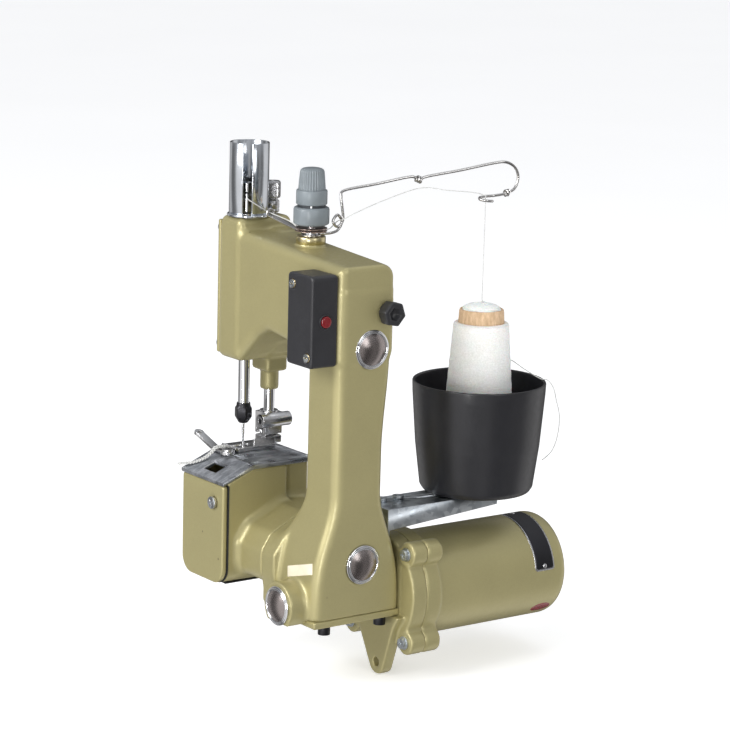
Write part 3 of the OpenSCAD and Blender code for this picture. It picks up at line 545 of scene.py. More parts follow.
def paint(name, base):
    L = Look(name, base, 0.5, 0.4, Coat_Weight=0.3, Coat_Roughness=0.22)
    flake = L.cells(1500)
    tone = L.span(L.noise(26, 3), 0.3, 0.7, 0, 1)
    c = L.mixc(tone, tint(base, 0.95), tint(base, 1.05))
    c = L.mixc(L.span(flake, 0.05, 0.55, 0.0, 0.35), c, tint(base, 1.22))
    spot = L.span(L.cells(62), 0.035, 0.06, 1, 0)
    gate = L.span(L.noise(19, 1), 0.62, 0.66, 0, 0.75)
    c = L.mixc(L.math("MULTIPLY", spot, gate), c, tint(base, 0.35))
    L.color(c)
    L.rough(L.span(L.noise(420, 2), 0.3, 0.7, 0.36, 0.48))
    L.bump(L.noise(850, 2, 0.6), 0.28, 0.00012)
    L.bump(L.noise(150, 2, 0.5), 0.16, 0.0004)
    return L.m


def metal(name, base, rough, grain=(1, 1, 1), grain_scale=900, depth=0.08, dirt=0.0, edge=0.0):
    L = Look(name, base, 1.0, rough)
    if edge:
        L.edge(edge)
    g = L.noise(grain_scale, 3, 0.6, stretch=grain)
    L.rough(L.span(g, 0.3, 0.7, rough * 0.8, rough * 1.25))
    c = L.mixc(L.span(L.noise(45, 4, 0.6), 0.35, 0.7, 0, 1), tint(base, 0.93), tint(base, 1.05))
    if dirt:
        c = L.mixc(L.span(L.noise(170, 5, 0.7), 0.52, 0.68, 0, dirt), c, tint(base, 0.25))
    L.color(c)
    L.bump(g, depth, 0.00008)
    return L.m


def plastic(name, base, rough, coat=0.0, scale=1100, depth=0.15, edge=0.0, **more):
    L = Look(name, base, 0.0, rough, Coat_Weight=coat, Coat_Roughness=0.2, **more)
    if edge:
        L.edge(edge)
    c = L.mixc(L.span(L.noise(60, 4, 0.6), 0.35, 0.7, 0, 1), tint(base, 0.9), tint(base, 1.12))
    L.color(c)
    L.rough(L.span(L.noise(300, 3), 0.3, 0.7, rough * 0.88, rough * 1.12))
    L.bump(L.noise(scale, 2, 0.6), depth, 0.00008)
    return L.m


GOLD = (0.372, 0.332, 0.162)
M_PAINT = paint("painted_casting", GOLD)
M_TURNED = metal("turned_gold", (0.62, 0.55, 0.33), 0.3, (0.2, 0.2, 6), 500, 0.15)
M_BLACK = plastic("black_plastic", (0.018, 0.018, 0.021), 0.42, 0.12)
M_BOWL = plastic("bowl_plastic", (0.014, 0.014, 0.017), 0.36, 0.1)
M_BLACK_STEEL = metal("black_steel", (0.055, 0.055, 0.06), 0.38)
M_CHROME = metal("chrome_plate", (0.83, 0.84, 0.86), 0.07, depth=0.02)
# The chrome cap domes get a dark brownish colour: painted reflection of a dark surround, not a colour of their
# own
M_DOME_PAINTED_REFLECTION = metal("cap_dome", (0.36, 0.32, 0.31), 0.24, (1, 14, 0.5), 700, 0.25)
M_STEEL = metal("machined_steel", (0.58, 0.58, 0.59), 0.26, (1, 1, 0.08), 1400, 0.1)
M_TURN_STEEL = metal("turned_steel", (0.52, 0.52, 0.53), 0.25, (0.3, 0.3, 5), 1100, 0.12)
M_CAST_STEEL = metal("cast_steel", (0.7, 0.7, 0.71), 0.2, (1, 1, 1), 600, 0.12, 0.2, 0.0005)
M_WIRE = metal("spring_wire", (0.62, 0.61, 0.6), 0.2)
M_IRON = metal("iron", (0.24, 0.24, 0.25), 0.45, (1, 30, 1), 300, 0.2)
M_COPPER = metal("copper", (0.62, 0.3, 0.15), 0.35, (1, 20, 1), 500, 0.3)
M_BRONZE = metal("bronze", (0.6, 0.42, 0.22), 0.38)
M_DISC = metal("disc", (0.55, 0.43, 0.38), 0.16)
M_NYLON = plastic("nylon", (0.75, 0.72, 0.62), 0.45)
M_RUBBER = plastic("rubber", (0.02, 0.02, 0.02), 0.7)
M_KNOB = plastic("knob_grey", (0.175, 0.2, 0.215), 0.4, 0.12)
M_GUARD = metal("guard_chrome", (0.62, 0.65, 0.69), 0.17, (1, 1, 0.1), 900, 0.04)
M_KNOB_DARK = plastic("knob_gap", (0.03, 0.035, 0.04), 0.5)
M_WHITE_MARK = plastic("white_mark", (0.75, 0.76, 0.76), 0.5)
M_CREAM = plastic("badge_cream", (0.72, 0.66, 0.5), 0.42, 0.2)
M_BRASS = metal("brass", (0.72, 0.6, 0.38), 0.25)
M_RED = plastic("red_plastic", (0.15, 0.005, 0.008), 0.14, 0.5, depth=0.03)


def zinc():
    L = Look("zinc_steel", (0.56, 0.6, 0.64), 1.0, 0.36)
    L.edge(0.0004)
    bw = L.node("ShaderNodeRGBToBW", Color=L.cells(210.0, "Color")).outputs[0]
    c = L.mixc(L.span(bw, 0.1, 0.9, 0, 1), (0.46, 0.5, 0.54), (0.68, 0.72, 0.75))
    c = L.mixc(L.span(L.noise(90, 5, 0.65), 0.55, 0.72, 0, 0.45), c, (0.24, 0.25, 0.27))
    L.color(c)
    L.rough(L.span(bw, 0, 1, 0.26, 0.5))
    L.bump(L.noise(260, 4, 0.6), 0.3, 0.0002)
    return L.m


def plate_steel():
    L = Look("plate_steel", (0.5, 0.51, 0.53), 1.0, 0.34)
    L.edge(0.0004)
    s = L.noise(240, 5, 0.7, stretch=(1, 0.12, 1))
    c = L.mixc(L.span(s, 0.4, 0.62, 0, 1), (0.34, 0.36, 0.39), (0.66, 0.68, 0.72))
    c = L.mixc(L.span(L.noise(48, 5, 0.7), 0.52, 0.7, 0, 0.75), c, (0.14, 0.14, 0.16))
    L.color(c)
    L.rough(L.span(L.noise(90, 4), 0.35, 0.65, 0.24, 0.5))
    L.bump(s, 0.18, 0.0001)
    return L.m


def thread_look():
    L = Look("thread", (0.6, 0.6, 0.585), 0.0, 0.75)
    L.color(L.mixc(L.span(L.noise(1300, 2), 0.3, 0.7, 0, 1), (0.5, 0.5, 0.485), (0.66, 0.66, 0.64)))
    L.bump(L.noise(2200, 2), 0.5, 0.0002)
    return L.m


def yarn_look():
    soft = {"Sheen_Weight": 0.25, "Subsurface_Weight": 0.2, "Subsurface_Scale": 0.004}
    L = Look("yarn", (0.86, 0.855, 0.82), 0.0, 0.8, **soft)
    L.color(L.mixc(L.span(L.noise(900, 3, 0.7), 0.3, 0.7, 0, 1), (0.74, 0.735, 0.7), (0.9, 0.895, 0.87)))
    L.bump(L.noise(1500, 3, 0.7), 0.45, 0.0003)
    return L.m


def paper():
    L = Look("paper_core", (0.62, 0.42, 0.25), 0.0, 0.75)
    f = L.noise(500, 4, 0.7, stretch=(1, 1, 0.3))
    L.color(L.mixc(L.span(f, 0.35, 0.7, 0, 1), (0.5, 0.33, 0.19), (0.72, 0.52, 0.33)))
    L.bump(f, 0.4, 0.0003)
    return L.m


M_ZINC, M_PLATE, M_THREAD, M_YARN, M_PAPER = zinc(), plate_steel(), thread_look(), yarn_look(), paper()


def cast(name, field, v, look=M_PAINT):
    """Adds the surface of a distance field in place of a CAD node."""
    V, F = field.mesh(v)
    add(name + "_visual", V, F, look, "root", (name,))


BY_SLOT = {
    "painted_casting": M_PAINT, "black_plastic": M_BLACK, "black_steel": M_BLACK_STEEL,
    "chrome_plate": M_CHROME,
    "machined_steel": M_STEEL, "zinc_steel": M_ZINC, "iron_laminations": M_IRON, "copper_winding": M_COPPER,
    "bronze": M_BRONZE, "nylon": M_NYLON, "belt_rubber": M_RUBBER, "grey_plastic": M_KNOB,
    "red_plastic": M_RED,
    "thread": M_THREAD, "yarn": M_YARN, "paper_core": M_PAPER, "nameplate_black": M_BLACK_STEEL,
}
SPECIAL = {"needle_plate": M_PLATE, "presser_foot": M_CAST_STEEL, "foot_holder": M_CAST_STEEL,
           "tension_discs": M_DISC, "thread_guide": M_WIRE, "knife_lever": M_CAST_STEEL,
           "lifter_lever": M_CAST_STEEL, "tension_post": M_CHROME}
for name, o in N.items():
    look = SPECIAL.get(name, BY_SLOT[SLOT[name]])
    o.data.materials.clear()
    o.data.materials.append(look)
BEVELED = ("base_screws", "cover_screws", "motor_screws",
           "foot_holder", "presser_foot", "lifter_lever", "knife_lever", "thread_guide", "bowl_bracket",
           "needle_plate", "cord_gland", "tension_discs", "needle_link", "cooling_fan", "looper")
for name in BEVELED:
    o = N[name]
    w = o.modifiers.new("weld", "WELD")
    w.merge_threshold = 0.00001
    b = o.modifiers.new("edges", "BEVEL")
    b.width = 0.00035
    b.segments = 3
    b.limit_method = "ANGLE"
    b.angle_limit = math.radians(35)
    b.use_clamp_overlap = True
    b.harden_normals = False
for o in N.values():
    o.data.polygons.foreach_set("use_smooth", [True] * len(o.data.polygons))
    o.data.set_sharp_from_angle(angle=math.radians(32))

# ---------------------------------------------------------------- cords
wire_route = [[-60.2, 41, 251.75], [-58.6, 48, 251.8], [-58.4, 54, 253.5], [-58.2, 57, 259],
              [-57.6, 53, 264], [-57, 48.9, 260], [-56.2, 52, 256.2], [-55.5, 56, 260.5], [-55.4, 55, 270],
              [-56, 54.5, 276], [-57, 58, 280.5], [-52, 80, 284], [-46, 101, 288], [-44, 107, 288],
              [-43, 111, 284.5], [-42, 114, 288], [-35, 138, 292], [-28, 162, 296.5], [-25, 171, 297],
              [-24, 178, 293], [-24, 181, 286], [-24, 178, 278.5], [-24, 170, 275.5], [-24.6, 161, 274.6],
              [-27.8, 156, 274], [-28, 151.3, 273.4], [-24, 148.4, 272.8], [-20, 151.3, 272.2],
              [-20.4, 156, 271.6], [-24, 157.8, 271]]
upper_route = [[-24, 153, 198], [-24, 153, 235], [-24, 153, 272], [-24.5, 151.6, 275.4],
               [-27, 145, 277.4], [-34, 128, 279], [-43, 111, 280.5], [-48, 84, 273], [-49.5, 61, 265.5],
               [-53, 54.8, 261.5], [-57, 53, 260], [-60.4, 51.8, 256.8], [-60.9, 49.2, 254.5],
               [-60.9, 45.5, 254.05], [-60.9, 38.6, 254.05], [-62.2, 34, 254.05], [-66.4, 31.8, 254.05],
               [-72, 33, 254.05], [-78.5, 34.6, 254.1], [-92, 36.3, 256.6], [-116.5, 38, 258.3],
               [-118.3, 31.5, 262], [-119, 25, 266], [-120.9, 21.8, 268.6], [-124, 23.4, 270.1],
               [-128.4, 26.2, 271]]
tail_route = [[-133, 27, 90.05], [-133, 22, 90.1], [-133, 18, 90.9], [-132.6, 15, 92.6],
              [-132, 11, 92.9], [-132, 6.3, 92.7], [-132.2, 3, 89.6], [-133.5, -2, 85.9], [-137, -8.5, 83],
              [-143, -13, 81.5], [-150, -17, 80]]
loose_route = [[-26.5, 175.3, 157], [-20, 177.2, 158.6], [-8, 180, 154], [2.6, 185.6, 148.8],
               [6.6, 189, 148], [9.5, 192, 143], [11, 194, 134], [11.5, 197, 122], [10, 197, 108],
               [7, 195, 97], [2, 191, 90]]


def cord_piece(name, node, route, dia, blend=None):
    p = catmull(route, 6)
    V, F = tube(p, dia / 2, 8)
    o = add(name, V, F, M_THREAD, "root", (node,))
    if blend:
        o.parent = None
        del o["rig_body"]
        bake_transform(o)


cord_piece("needle_thread_visual", "needle_thread", upper_route, 0.7,
           ((-118.3, 31.5, 262), (-128.2, 26.3, 271)))
cord_piece("loose_thread_visual", "loose_thread", loose_route, 0.7)

# The chain of stitches: three strands plaited along the tail's route, which ends inside the CAD model's box
STEP, TAIL_END = 0.28, -15.1
mid = catmull(tail_route, 14)
along = np.r_[0, np.cumsum(np.linalg.norm(np.diff(mid, axis=0), axis=1))]
fine = np.array([[np.interp(s, along, mid[:, k]) for k in range(3)] for s in np.arange(0, along[-1], STEP)])
fine = fine[fine[:, 1] > TAIL_END]
ahead, _, _ = frames(fine)
side = np.cross(ahead, (0, 0, 1.0))
side /= np.linalg.norm(side, axis=1)[:, None]
lift = np.cross(side, ahead)
dist = np.arange(len(fine)) * STEP
grow = np.clip(dist / 3, 0.3, 1)
parts = []
for k in range(3):
    phase = 2 * math.pi * (dist / 6.2 + k / 3)
    over = 0.42 * np.sin(2 * phase) * grow + 0.05
    parts.append(tube(fine + side * (1.5 * np.sin(phase) * grow)[:, None] + lift * over[:, None], 0.52, 8))
V, F, _ = join_parts(parts)
o = add("chain_tail_visual", V, F, M_THREAD, "root", ("chain_tail",))

# The guide wire, with a coil of it where it is fixed
V, F = tube(catmull(wire_route, 7), 0.95, 12)
wraps = []
for at, axis, turns in (((-43.2, 109.6, 286.6), (-0.18, -0.9, 0.4), 2.5),
                        ((-24, 171.5, 275.9), (0, 1, 0.1), 2.0)):
    e3 = np.array(axis) / np.linalg.norm(axis)
    e1 = np.cross(e3, (0, 0, 1.0))
    e1 /= np.linalg.norm(e1)
    e2 = np.cross(e3, e1)
    q = np.linspace(0, turns * 2 * math.pi, 60)
    circle = np.outer(np.cos(q) * 1.9, e1) + np.outer(np.sin(q) * 1.9, e2)
    wraps.append(tube(np.array(at) + circle + np.outer((q / q[-1] - 0.5) * 4.2, e3), 0.7, 8))
V, F, _ = join_parts([(V, F)] + wraps)
add("guide_wire_visual", V, F, M_WIRE, "root", ("guide_wire",))

# ---------------------------------------------------------------- body casting
NECK = fillet([(-2, 12), (58, 10), (58, 60), (31, 60), (6, 48), (-2, 36)], [13, 5, 5, 12, 12, 8], 8)
WALL = 4.5
f = Field((-154, -14, -4), (8, 76, 262), 1.15)
heights = np.clip(f.g[2].astype(float), 0, 232)
front, rear, left = (fn(heights).astype(np.float32)[None, None, :] for fn in (col_front, col_rear, col_left))
col = meet(meet(meet(front - f.y, f.x, 7.5), f.y - rear, 6), left - f.x, 5)
col = meet(col, f.slab("z", 0, 222), 1.2)
arm = fillet([(-147, 156), (-121, 156), (-117, 160), (-109, 168), (-100, 176), (-88, 182), (-20, 173),
              (20, 173), (20, 237.4), (-147, 248.0)], [0, 0, 4, 6, 8, 10, 30, 0, 0, 0])
arm = meet(f.xz(arm), f.y - 60, 9.0)
arm = meet(arm, f.x, 3.0)
arm = meet(arm, 16 - f.y, 7.0)
head = f.box((-147, 16, 155), (-120.5, 60, 254.8), 5.0)
solid = both(both(col, arm, 3.0), head, 3.4)
lump = [(-147, 155), (-119, 155), (-117, 160), (-109, 168), (-109, 246), (-147, 251)]
lump = meet(f.xz(lump), f.slab("y", 40, 64), 3.0)
solid = both(solid, lump, 2.0)
solid = both(solid, np.maximum(f.yz(NECK), f.slab("x", -60, -45)), 5.0)
solid = both(solid, f.box((-141.5, 41, 144.5), (-120.5, 58, 160), 2.2), 1.2)
solid = both(solid, f.box((-4, 45.5, 197), (1.1, 59, 217), 1.2), 0.8)
solid = both(solid, f.rod("z", PRESSER, 6.5, 130.5, 148, 0.8), 1.5)
solid = both(solid, f.rod("z", TENSION, 10, 236, 249.5, 0.7), 1.6)
solid = both(solid, f.rod("y", MOTOR, 16.5, -12, 14, 0.8), 3.5)
for x in (-34, -14):
    solid = both(solid, f.rod("y", (x, 57), 5, 54, 65.6, 0.6), 1.5)
# The room inside the column, less the bearing seats, then the rooms of arm and head and all bores
hollow = np.maximum(np.maximum(front + WALL - f.y, f.y - rear + WALL),
                    np.maximum(left + WALL - f.x, f.x + WALL))
hollow = np.maximum(hollow, f.slab("z", WALL, 190))
for axis, p, r, a0, a1 in (("x", UPPER, 16, -60, 1), ("x", LOWER, 16, -60, 1), ("y", MOTOR, 17, -13, 9)):
    hollow = cut(hollow, f.rod(axis, p, r, a0, a1))
tunnel = f.rod("x", UPPER, 10, -118, -18)
for v in (f.box((-104, 20.5, 186), (-4.5, 55.5, 232.5)), f.box((-98, 54.5, 192), (-12, 61, 228)),
          f.box((-148, 20.5, 161), (-122.6, 60.5, 249)), f.box((-123, 20.5, 180), (-120.5, 42, 240))):
    hollow = np.minimum(hollow, v)
hollow = cut(hollow, tunnel)
BORES = (("x", UPPER, 17, -122.8, -117.4), ("x", UPPER, 8.8, -118, -112), ("x", UPPER, 7.3, -104.5, -30.5),
         ("x", UPPER, 12.8, -3, 4), ("x", UPPER, 8, -10, 2), ("x", UPPER, 8, -113, -103),
         ("x", LOWER, 12.8, -3, 4), ("x", LOWER, 8, -61, -45), ("x", LOWER, 8, -10, 2),
         ("y", MOTOR, 12.8, -16, -9), ("y", MOTOR, 11.03, -10, 0), ("y", MOTOR, 9, -1, 79),
         ("z", NEEDLE, 6, 154, 162), ("z", NEEDLE, 6, 248, 258),
         ("z", PRESSER, 3.85, 128, 166), ("z", PRESSER, 3.5, 247, 258),
         ("y", (-125.5, 167.2), 3.05, 58, 68), ("x", (53.3, 207), 4.05, -8, 3), ("z", TENSION, 2.55, 228, 252))
for axis, p, r, a0, a1 in BORES:
    hollow = np.minimum(hollow, f.rod(axis, p, r, a0, a1))
cast("body_casting", f, np.maximum(solid, -hollow))

# ---------------------------------------------------------------- bed casting
f = Field((-145, -18, 0), (-55, 66, 94), 1.05)
neck = np.maximum(f.yz(NECK), f.slab("x", -110, -60))
bed = meet(f.yz([(-10.2, 5), (38, 5), (38, 86), (9.5, 86), (-10.2, 78.0)]),
           f.xz(fillet([(-140.4, 5.6), (-89.6, 5.6), (-89.6, 90), (-140.4, 90)], [11.5, 11.5, 0, 0], 8)), 1.0)
rear = meet(f.yz(fillet([(30, 5), (60, 5), (60, 86), (30, 86)], [0, 0, 2, 0])),
            f.xz(fillet([(-141, 5), (-95, 5), (-95, 90), (-141, 90)], [11.5, 6, 0, 0], 8)), 2.5)
shell = both(both(bed, rear, 2.0), neck, 6.5)
shell = both(shell, f.rod("x", (46.4, 57.4), 3.4, -100, -92.6, 1.0), 1.2)
inner = f.xz(fillet([(-138.4, 7.6), (-92.6, 7.6), (-92.6, 95), (-138.4, 95)], [9.5, 9.5, 0, 0], 8))
inner = np.maximum(inner, f.slab("y", -13, 34))
inner = np.minimum(inner, f.box((-138.4, 33, 8), (-99, 56, 87)))
inner = cut(inner, f.rod("x", (14, 50), 7, -141, -136))
inner = np.minimum(inner, f.rod("x", LOWER, 7, -100, -55))
inner = np.minimum(inner, f.rod("x", (14, 50), 4.05, -140, -130))
cast("bed_casting", f, np.maximum(shell, -inner))


# ---------------------------------------------------------------- flange and motor
def round_motor(r, q):
    """X and Z of a point round the motor's axis."""
    return MOTOR[0] + r * math.cos(q), MOTOR[1] + r * math.sin(q)


LUGS = [math.radians(q) for q in (45, 135, 225, 315)]
f = Field((-78, 63, -52), (28, 88, 62), 1.1)
v = f.rod("y", MOTOR, 40, 72, 84, 1.0)
for q in LUGS:
    v = both(v, f.rod("y", round_motor(44, q), 8.5, 72, 84, 1.0), 3.0)
v = both(v, f.box((-56, 72, -14), (0, 78, 30), 1.5), 2.0)
ear = fillet([(-48, -5.2), (-26, -45.5), (-9.6, -43.6), (0.5, -14), (6, -5.2)], [3, 3, 3, 0, 0])
ear = meet(np.minimum(f.xz(ear), f.rod("y", (-18, -42), 8.5, 0, 200)), f.slab("y", 66, 75), 1.2)
v = both(v, ear, 1.5)
for c in (f.rod("y", MOTOR, 16, 60, 90), f.rod("y", (-18, -42), 3.3, 60, 90)):
    v = cut(v, c)
cast("gearbox_flange", f, v)

f = Field((-78, 81, -52), (28, 215, 62), 1.25)
v = meet(f.rod("y", MOTOR, 36.5, 84, 212), f.y - 212, 8.5)
ring = f.rod("y", MOTOR, 40, 84, 97, 2.0)
for q in LUGS:
    ring = both(ring, f.rod("y", round_motor(44, q), 8.5, 84, 97, 1.6), 3.5)
v = both(v, ring, 2.5)
v = both(v, f.rod("x", (182, 8), 9, -66.5, -50, 0.8), 2.5)
cast("motor_housing", f, cut(v, f.rod("y", MOTOR, 33, 83, 208)))

# ---------------------------------------------------------------- covers and boxes
f = Field((-145, -19, 2), (-84, -8, 82), 0.8)
v = f.xz(fillet([(-141, 6), (-89, 6), (-89, 76.4), (-141, 76.4)], [12, 12, 2, 2], 8))
v = meet(v, f.slab("y", -15, -11), 1.0)
v = cut(v, f.rod("y", (-101, 63), 2.1, -20, -8))
v = cut(v, f.rod("y", (-101, 63), 5.4, -20, -14.6), 0.3)
cast("looper_cover", f, v)
# Its gasket: the outer edge stands out by 0.35 and the inner one lies 3 inside the cover's outline
rims = [fillet([(-141 - d, 6 - d), (-89 + d, 6 - d), (-89 + d, 76.3), (-141 - d, 76.3)],
               [12 + d, 12 + d, 1, 1], 8) for d in (0.35, -3.0)]
n = len(rims[0])
V = [(x, y, z) for rim in rims for y in (-11.05, -10.1) for x, z in rim]
F = [[a * n + k, a * n + (k + 1) % n, b * n + (k + 1) % n, b * n + k]
     for k in range(n) for a, b in ((0, 1), (1, 3), (3, 2), (2, 0))]
add("looper_cover_gasket", V, F, M_RUBBER, "root", slot="belt_rubber", smooth=False)
V, F = rbox((-130, -5, 3.2), (-100, 57, 5.4), 1.0)
add("box_floor_visual", V, F, M_BLACK_STEEL, "root", ("box_floor",))

f = Field((-34, -8, 170), (2, 18, 237.5), 0.75)
v = f.xz(fillet([(-31, 173), (-2, 173), (-2, 234.5), (-31, 234.5)], [2.5, 2.5, 3, 3]))
v = meet(v, f.slab("y", -5, 16), 1.6)
v = cut(v, f.box((-28.5, -2.5, 187), (-4.5, 17.5, 221)))
v = cut(v, f.rod("x", (6, 204), 4.05, -6, 3))
for p in ((-25.5, 227), (-7.5, 180)):
    v = cut(v, f.rod("y", p, 3.5, -6, -3.9), 0.3)
    v = cut(v, f.rod("y", p, 1.55, -6, 8))
cast("switch_box", f, v, M_BLACK)


def screw_head(at, axis, r, h, kind, turn):
    """A screw head whose top, on a fine grid, has a slot or cross sunk into it."""
    n, rows = 72, 26
    c, s = math.cos(turn), math.sin(turn)
    angles = [2 * math.pi * k / n for k in range(n)]
    top = np.array([(0.0, 0.0)] + [(r * i / rows * math.cos(a), r * i / rows * math.sin(a))
                                   for i in range(1, rows + 1) for a in angles])
    x, y = np.abs(top[:, 0] * c + top[:, 1] * s), np.abs(-top[:, 0] * s + top[:, 1] * c)
    dome = 0.14 * r * (1 - (x ** 2 + y ** 2) / r ** 2)
    if kind == "slot":
        d = y - r * 0.13
    else:
        d = np.minimum(np.maximum(y - r * 0.11, x - r * 0.6), np.maximum(x - r * 0.11, y - r * 0.6))
    sink = np.clip(-d / (r * 0.06) + 0.5, 0, 1) * h * 0.5
    V = np.column_stack([top, h + dome - sink])
    last, low = 1 + (rows - 1) * n, len(V)
    rim = V[last:low] * (1.03, 1.03, 0)
    V = np.vstack([V, rim + (0, 0, h * 0.8), rim, [(0, 0, 0)]])
    F = [[0, 1 + k, 1 + (k + 1) % n] for k in range(n)]
    for start in [1 + i * n for i in range(rows)] + [low]:
        for k in range(n):
            a, b = start + k, start + (k + 1) % n
            F.append([a, a + n, b + n, b])
    F += [[low + n + k, len(V) - 1, low + n + (k + 1) % n] for k in range(n)]
    return put(V, at, axis), F


for name, a, b, r in (("face_plate", (-150, 17, 157), (-146.9, 63, 251), 1.3),
                      ("rear_cover", (-103, 59.9, 187), (-7, 62.5, 233), 1.2),
                      ("base_plate", (-59, 1, -5), (0, 71.8, -0.02), 1.5)):
    V, F = rbox(a, b, r)
    add(name + "_visual", V, F, M_PAINT, "root", (name,))

# Cover screws: side cover, rear cover, looper cover and the two on the switch box
steel, brass = [], []
for y in (22, 58):
    for z in (163, 245):
        steel.append(screw_head((-150, y, z), "-x", 3.6, 1.6, "slot", 0.6 + y))
for x in (-98, -12):
    for z in (192, 228):
        steel.append(screw_head((x, 62.5, z), "y", 3.6, 1.8, "slot", 0.3 + z))
steel.append(screw_head((-101, -14.7, 63), "-y", 4.2, 2.2, "cross", 0.5))
for p in ((-25.5, 227), (-7.5, 180)):
    brass.append(screw_head((p[0], -3.95, p[1]), "-y", 2.9, 0.8, "cross", 0.3))
V, F, _ = join_parts(steel)
add("cover_screw_heads", V, F, M_STEEL, "root", slot="machined_steel")
V, F, _ = join_parts(brass)
add("switch_screw_heads", V, F, M_BRASS, "root", slot="machined_steel")

BUTTON = (-2, 6, 204)
prof = soften([(3.4, -0.4), (5.0, -0.3), (5.2, 0.15), (4.9, 0.55), (4.25, 0.6), (4.15, 0.1)], 0.15, 2)
V, F = lathe(prof, 64, BUTTON, "x")
add("button_bezel", V, F, M_BLACK, "root", slot="black_plastic")
prof = soften([(3.7, -5.0), (3.9, -4.6), (3.9, 1.2), (3.4, 1.75), (2.0, 2.0), (0, 2.05)], 0.4, 4)
V, F = lathe(prof, 64, BUTTON, "x")
add("switch_button_visual", V, F, M_RED, "button", ("switch_button",))

# ---------------------------------------------------------------- end caps and plug
def hexed(turn, size, rings):
    """A wave for lathe that makes the given rings six-sided."""
    def wave(i, a):
        return np.minimum(size / np.cos((a + turn) % (math.pi / 3) - math.pi / 6), 1.0) if i in rings else 1.0
    return wave


def knurled(count, depth, rings):
    """A wave for lathe that cuts count grooves into the given rings."""
    def wave(i, a):
        return 1 - depth * (0.5 + 0.5 * np.cos(count * a)) if i in rings else 1.0
    return wave


# Each cap: a chrome ring and a dome, which is part of a sphere of radius BALL; the dome's dark brownish metal
# colour is a painted reflection on the chrome
BALL, DOME_R, DOME_Z = 20.6, 10.6, 1.25
ring = soften([(12.0, -1.5), (13.4, 0.0), (13.4, 0.7), (12.9, 1.05), (12.2, 1.2), (12.0, 1.45), (11.5, 1.55),
               (11.3, 1.2), (10.95, 1.05), (10.7, DOME_Z)], 0.2, 2)
bows = np.linspace(math.asin(DOME_R / BALL), 0, 16)
dome = [(BALL * math.sin(q), DOME_Z + BALL * (math.cos(q) - math.cos(bows[0]))) for q in bows]
dome = [(10.7, DOME_Z)] + dome[1:-1] + [(0, dome[-1][1])]
parts = []
for at, axis in (((0, *UPPER), "x"), ((0, *LOWER), "x"), ((MOTOR[0], -12, MOTOR[1]), "-y")):
    parts += [(*lathe(ring, 96, at, axis), 0), (*lathe(dome, 96, at, axis), 1)]
V, F, M = join_parts(parts)
add("end_cap_domes", V, F, None, "root", ("end_caps",), mats=[M_CHROME, M_DOME_PAINTED_REFLECTION], mat_of=M)

PLUG = (1, 53.3, 207)
collar = soften([(6.2, -1.0), (6.6, 0), (6.6, 1.9), (5.9, 2.5), (0, 2.5)], 0.4, 3)
nut = [(8.6, 2.4), (8.6, 2.9), (8.6, 9.0), (8.3, 9.7), (7.6, 10.0), (4.9, 10.0), (4.5, 9.7), (4.4, 5.5),
       (0, 5.5)]
V, F, _ = join_parts([lathe(collar, 96, PLUG, "x"), lathe(nut, 96, PLUG, "x", hexed(0.2, 0.885, range(9)))])
add("oil_plug_visual", V, F, M_BLACK, "root", ("oil_plug",))

# ---------------------------------------------------------------- knobs and screws
FINE = 240
low = [(4, 257.2), (9.6, 257), (10.6, 257.2), (11.9, 258.0), (12.2, 258.8), (12.2, 267.9), (11.8, 268.9),
       (11.0, 269.4), (9.6, 269.4)]
gap = [(9.6, 269.2), (9.6, 271.3)]
middle = [(9.4, 271.1), (10.2, 271.2), (10.6, 271.7), (10.6, 280.3), (10.3, 280.9), (9.3, 281.1)]
top = [(9.15, 281.0), (9.3, 281.6), (8.9, 287), (8.4, 292.6), (8.2, 293.8), (7.6, 294.8), (6.6, 295.4),
       (4.4, 295.9), (0, 296.0)]
at = (*TENSION, 0)
parts = [(*lathe(low, FINE, at), 0), (*lathe(gap, FINE, at), 1), (*lathe(middle, FINE, at), 0),
         (*lathe(top, FINE, at, wave=knurled(30, 0.06, range(1, 7))), 0)]
# The white tick in the gap
q = math.radians(-36)
c, s = math.cos(q), math.sin(q)
V, F = rbox((-0.4, -0.6, -0.75), (0.5, 0.6, 0.75), 0.2, 2)
at = (TENSION[0] + 9.8 * c, TENSION[1] + 9.8 * s, 270.25)
parts.append((put(V, at, ((c, s, 0), (-s, c, 0), (0, 0, 1))), F, 2))
V, F, M = join_parts(parts)
add("tension_knob_visual", V, F, None, "tension_dial", ("tension_knob",),
    mats=[M_KNOB, M_KNOB_DARK, M_WHITE_MARK], mat_of=M)

# Presser screw: stem with its thread, lock nut and knurled head
at = (*PRESSER, 0)
stem = soften([(3.2, 236.4), (5.6, 236.4), (6, 237), (6, 239), (5.6, 239.4), (3.6, 239.4), (3.4, 240),
               (3.4, 256.4)], 0.2, 2)
nut = [(3.4, 255.8), (4.2, 256), (4.6, 256.5), (4.6, 257.6), (4.2, 258.0), (4.2, 258.5), (4.6, 258.9),
       (4.6, 263.6), (4.2, 264.2), (3.3, 264.5), (3.3, 266.2)]
head = [(3.3, 265.9), (4.7, 266.0), (5.2, 266.5), (5.4, 267.0), (5.4, 270.4), (5.4, 274.0), (5.4, 276.4),
        (5.1, 277.3), (4.4, 277.8), (2.4, 278), (2.1, 277.4), (0, 277.4)]
thread = []
for k in range(150):
    q = k / 10 * 2 * math.pi
    thread.append((PRESSER[0] + 3.4 * math.cos(q), PRESSER[1] + 3.4 * math.sin(q), 241 + k * 0.095))
V, F, _ = join_parts([lathe(stem, 48, at), lathe(nut, 64, at),
                      lathe(head, FINE * 2, at, wave=knurled(36, 0.07, range(3, 7))), tube(thread, 0.42, 6)])
add("presser_screw_visual", V, F, M_TURN_STEEL, "presser_adjuster", ("presser_screw",))

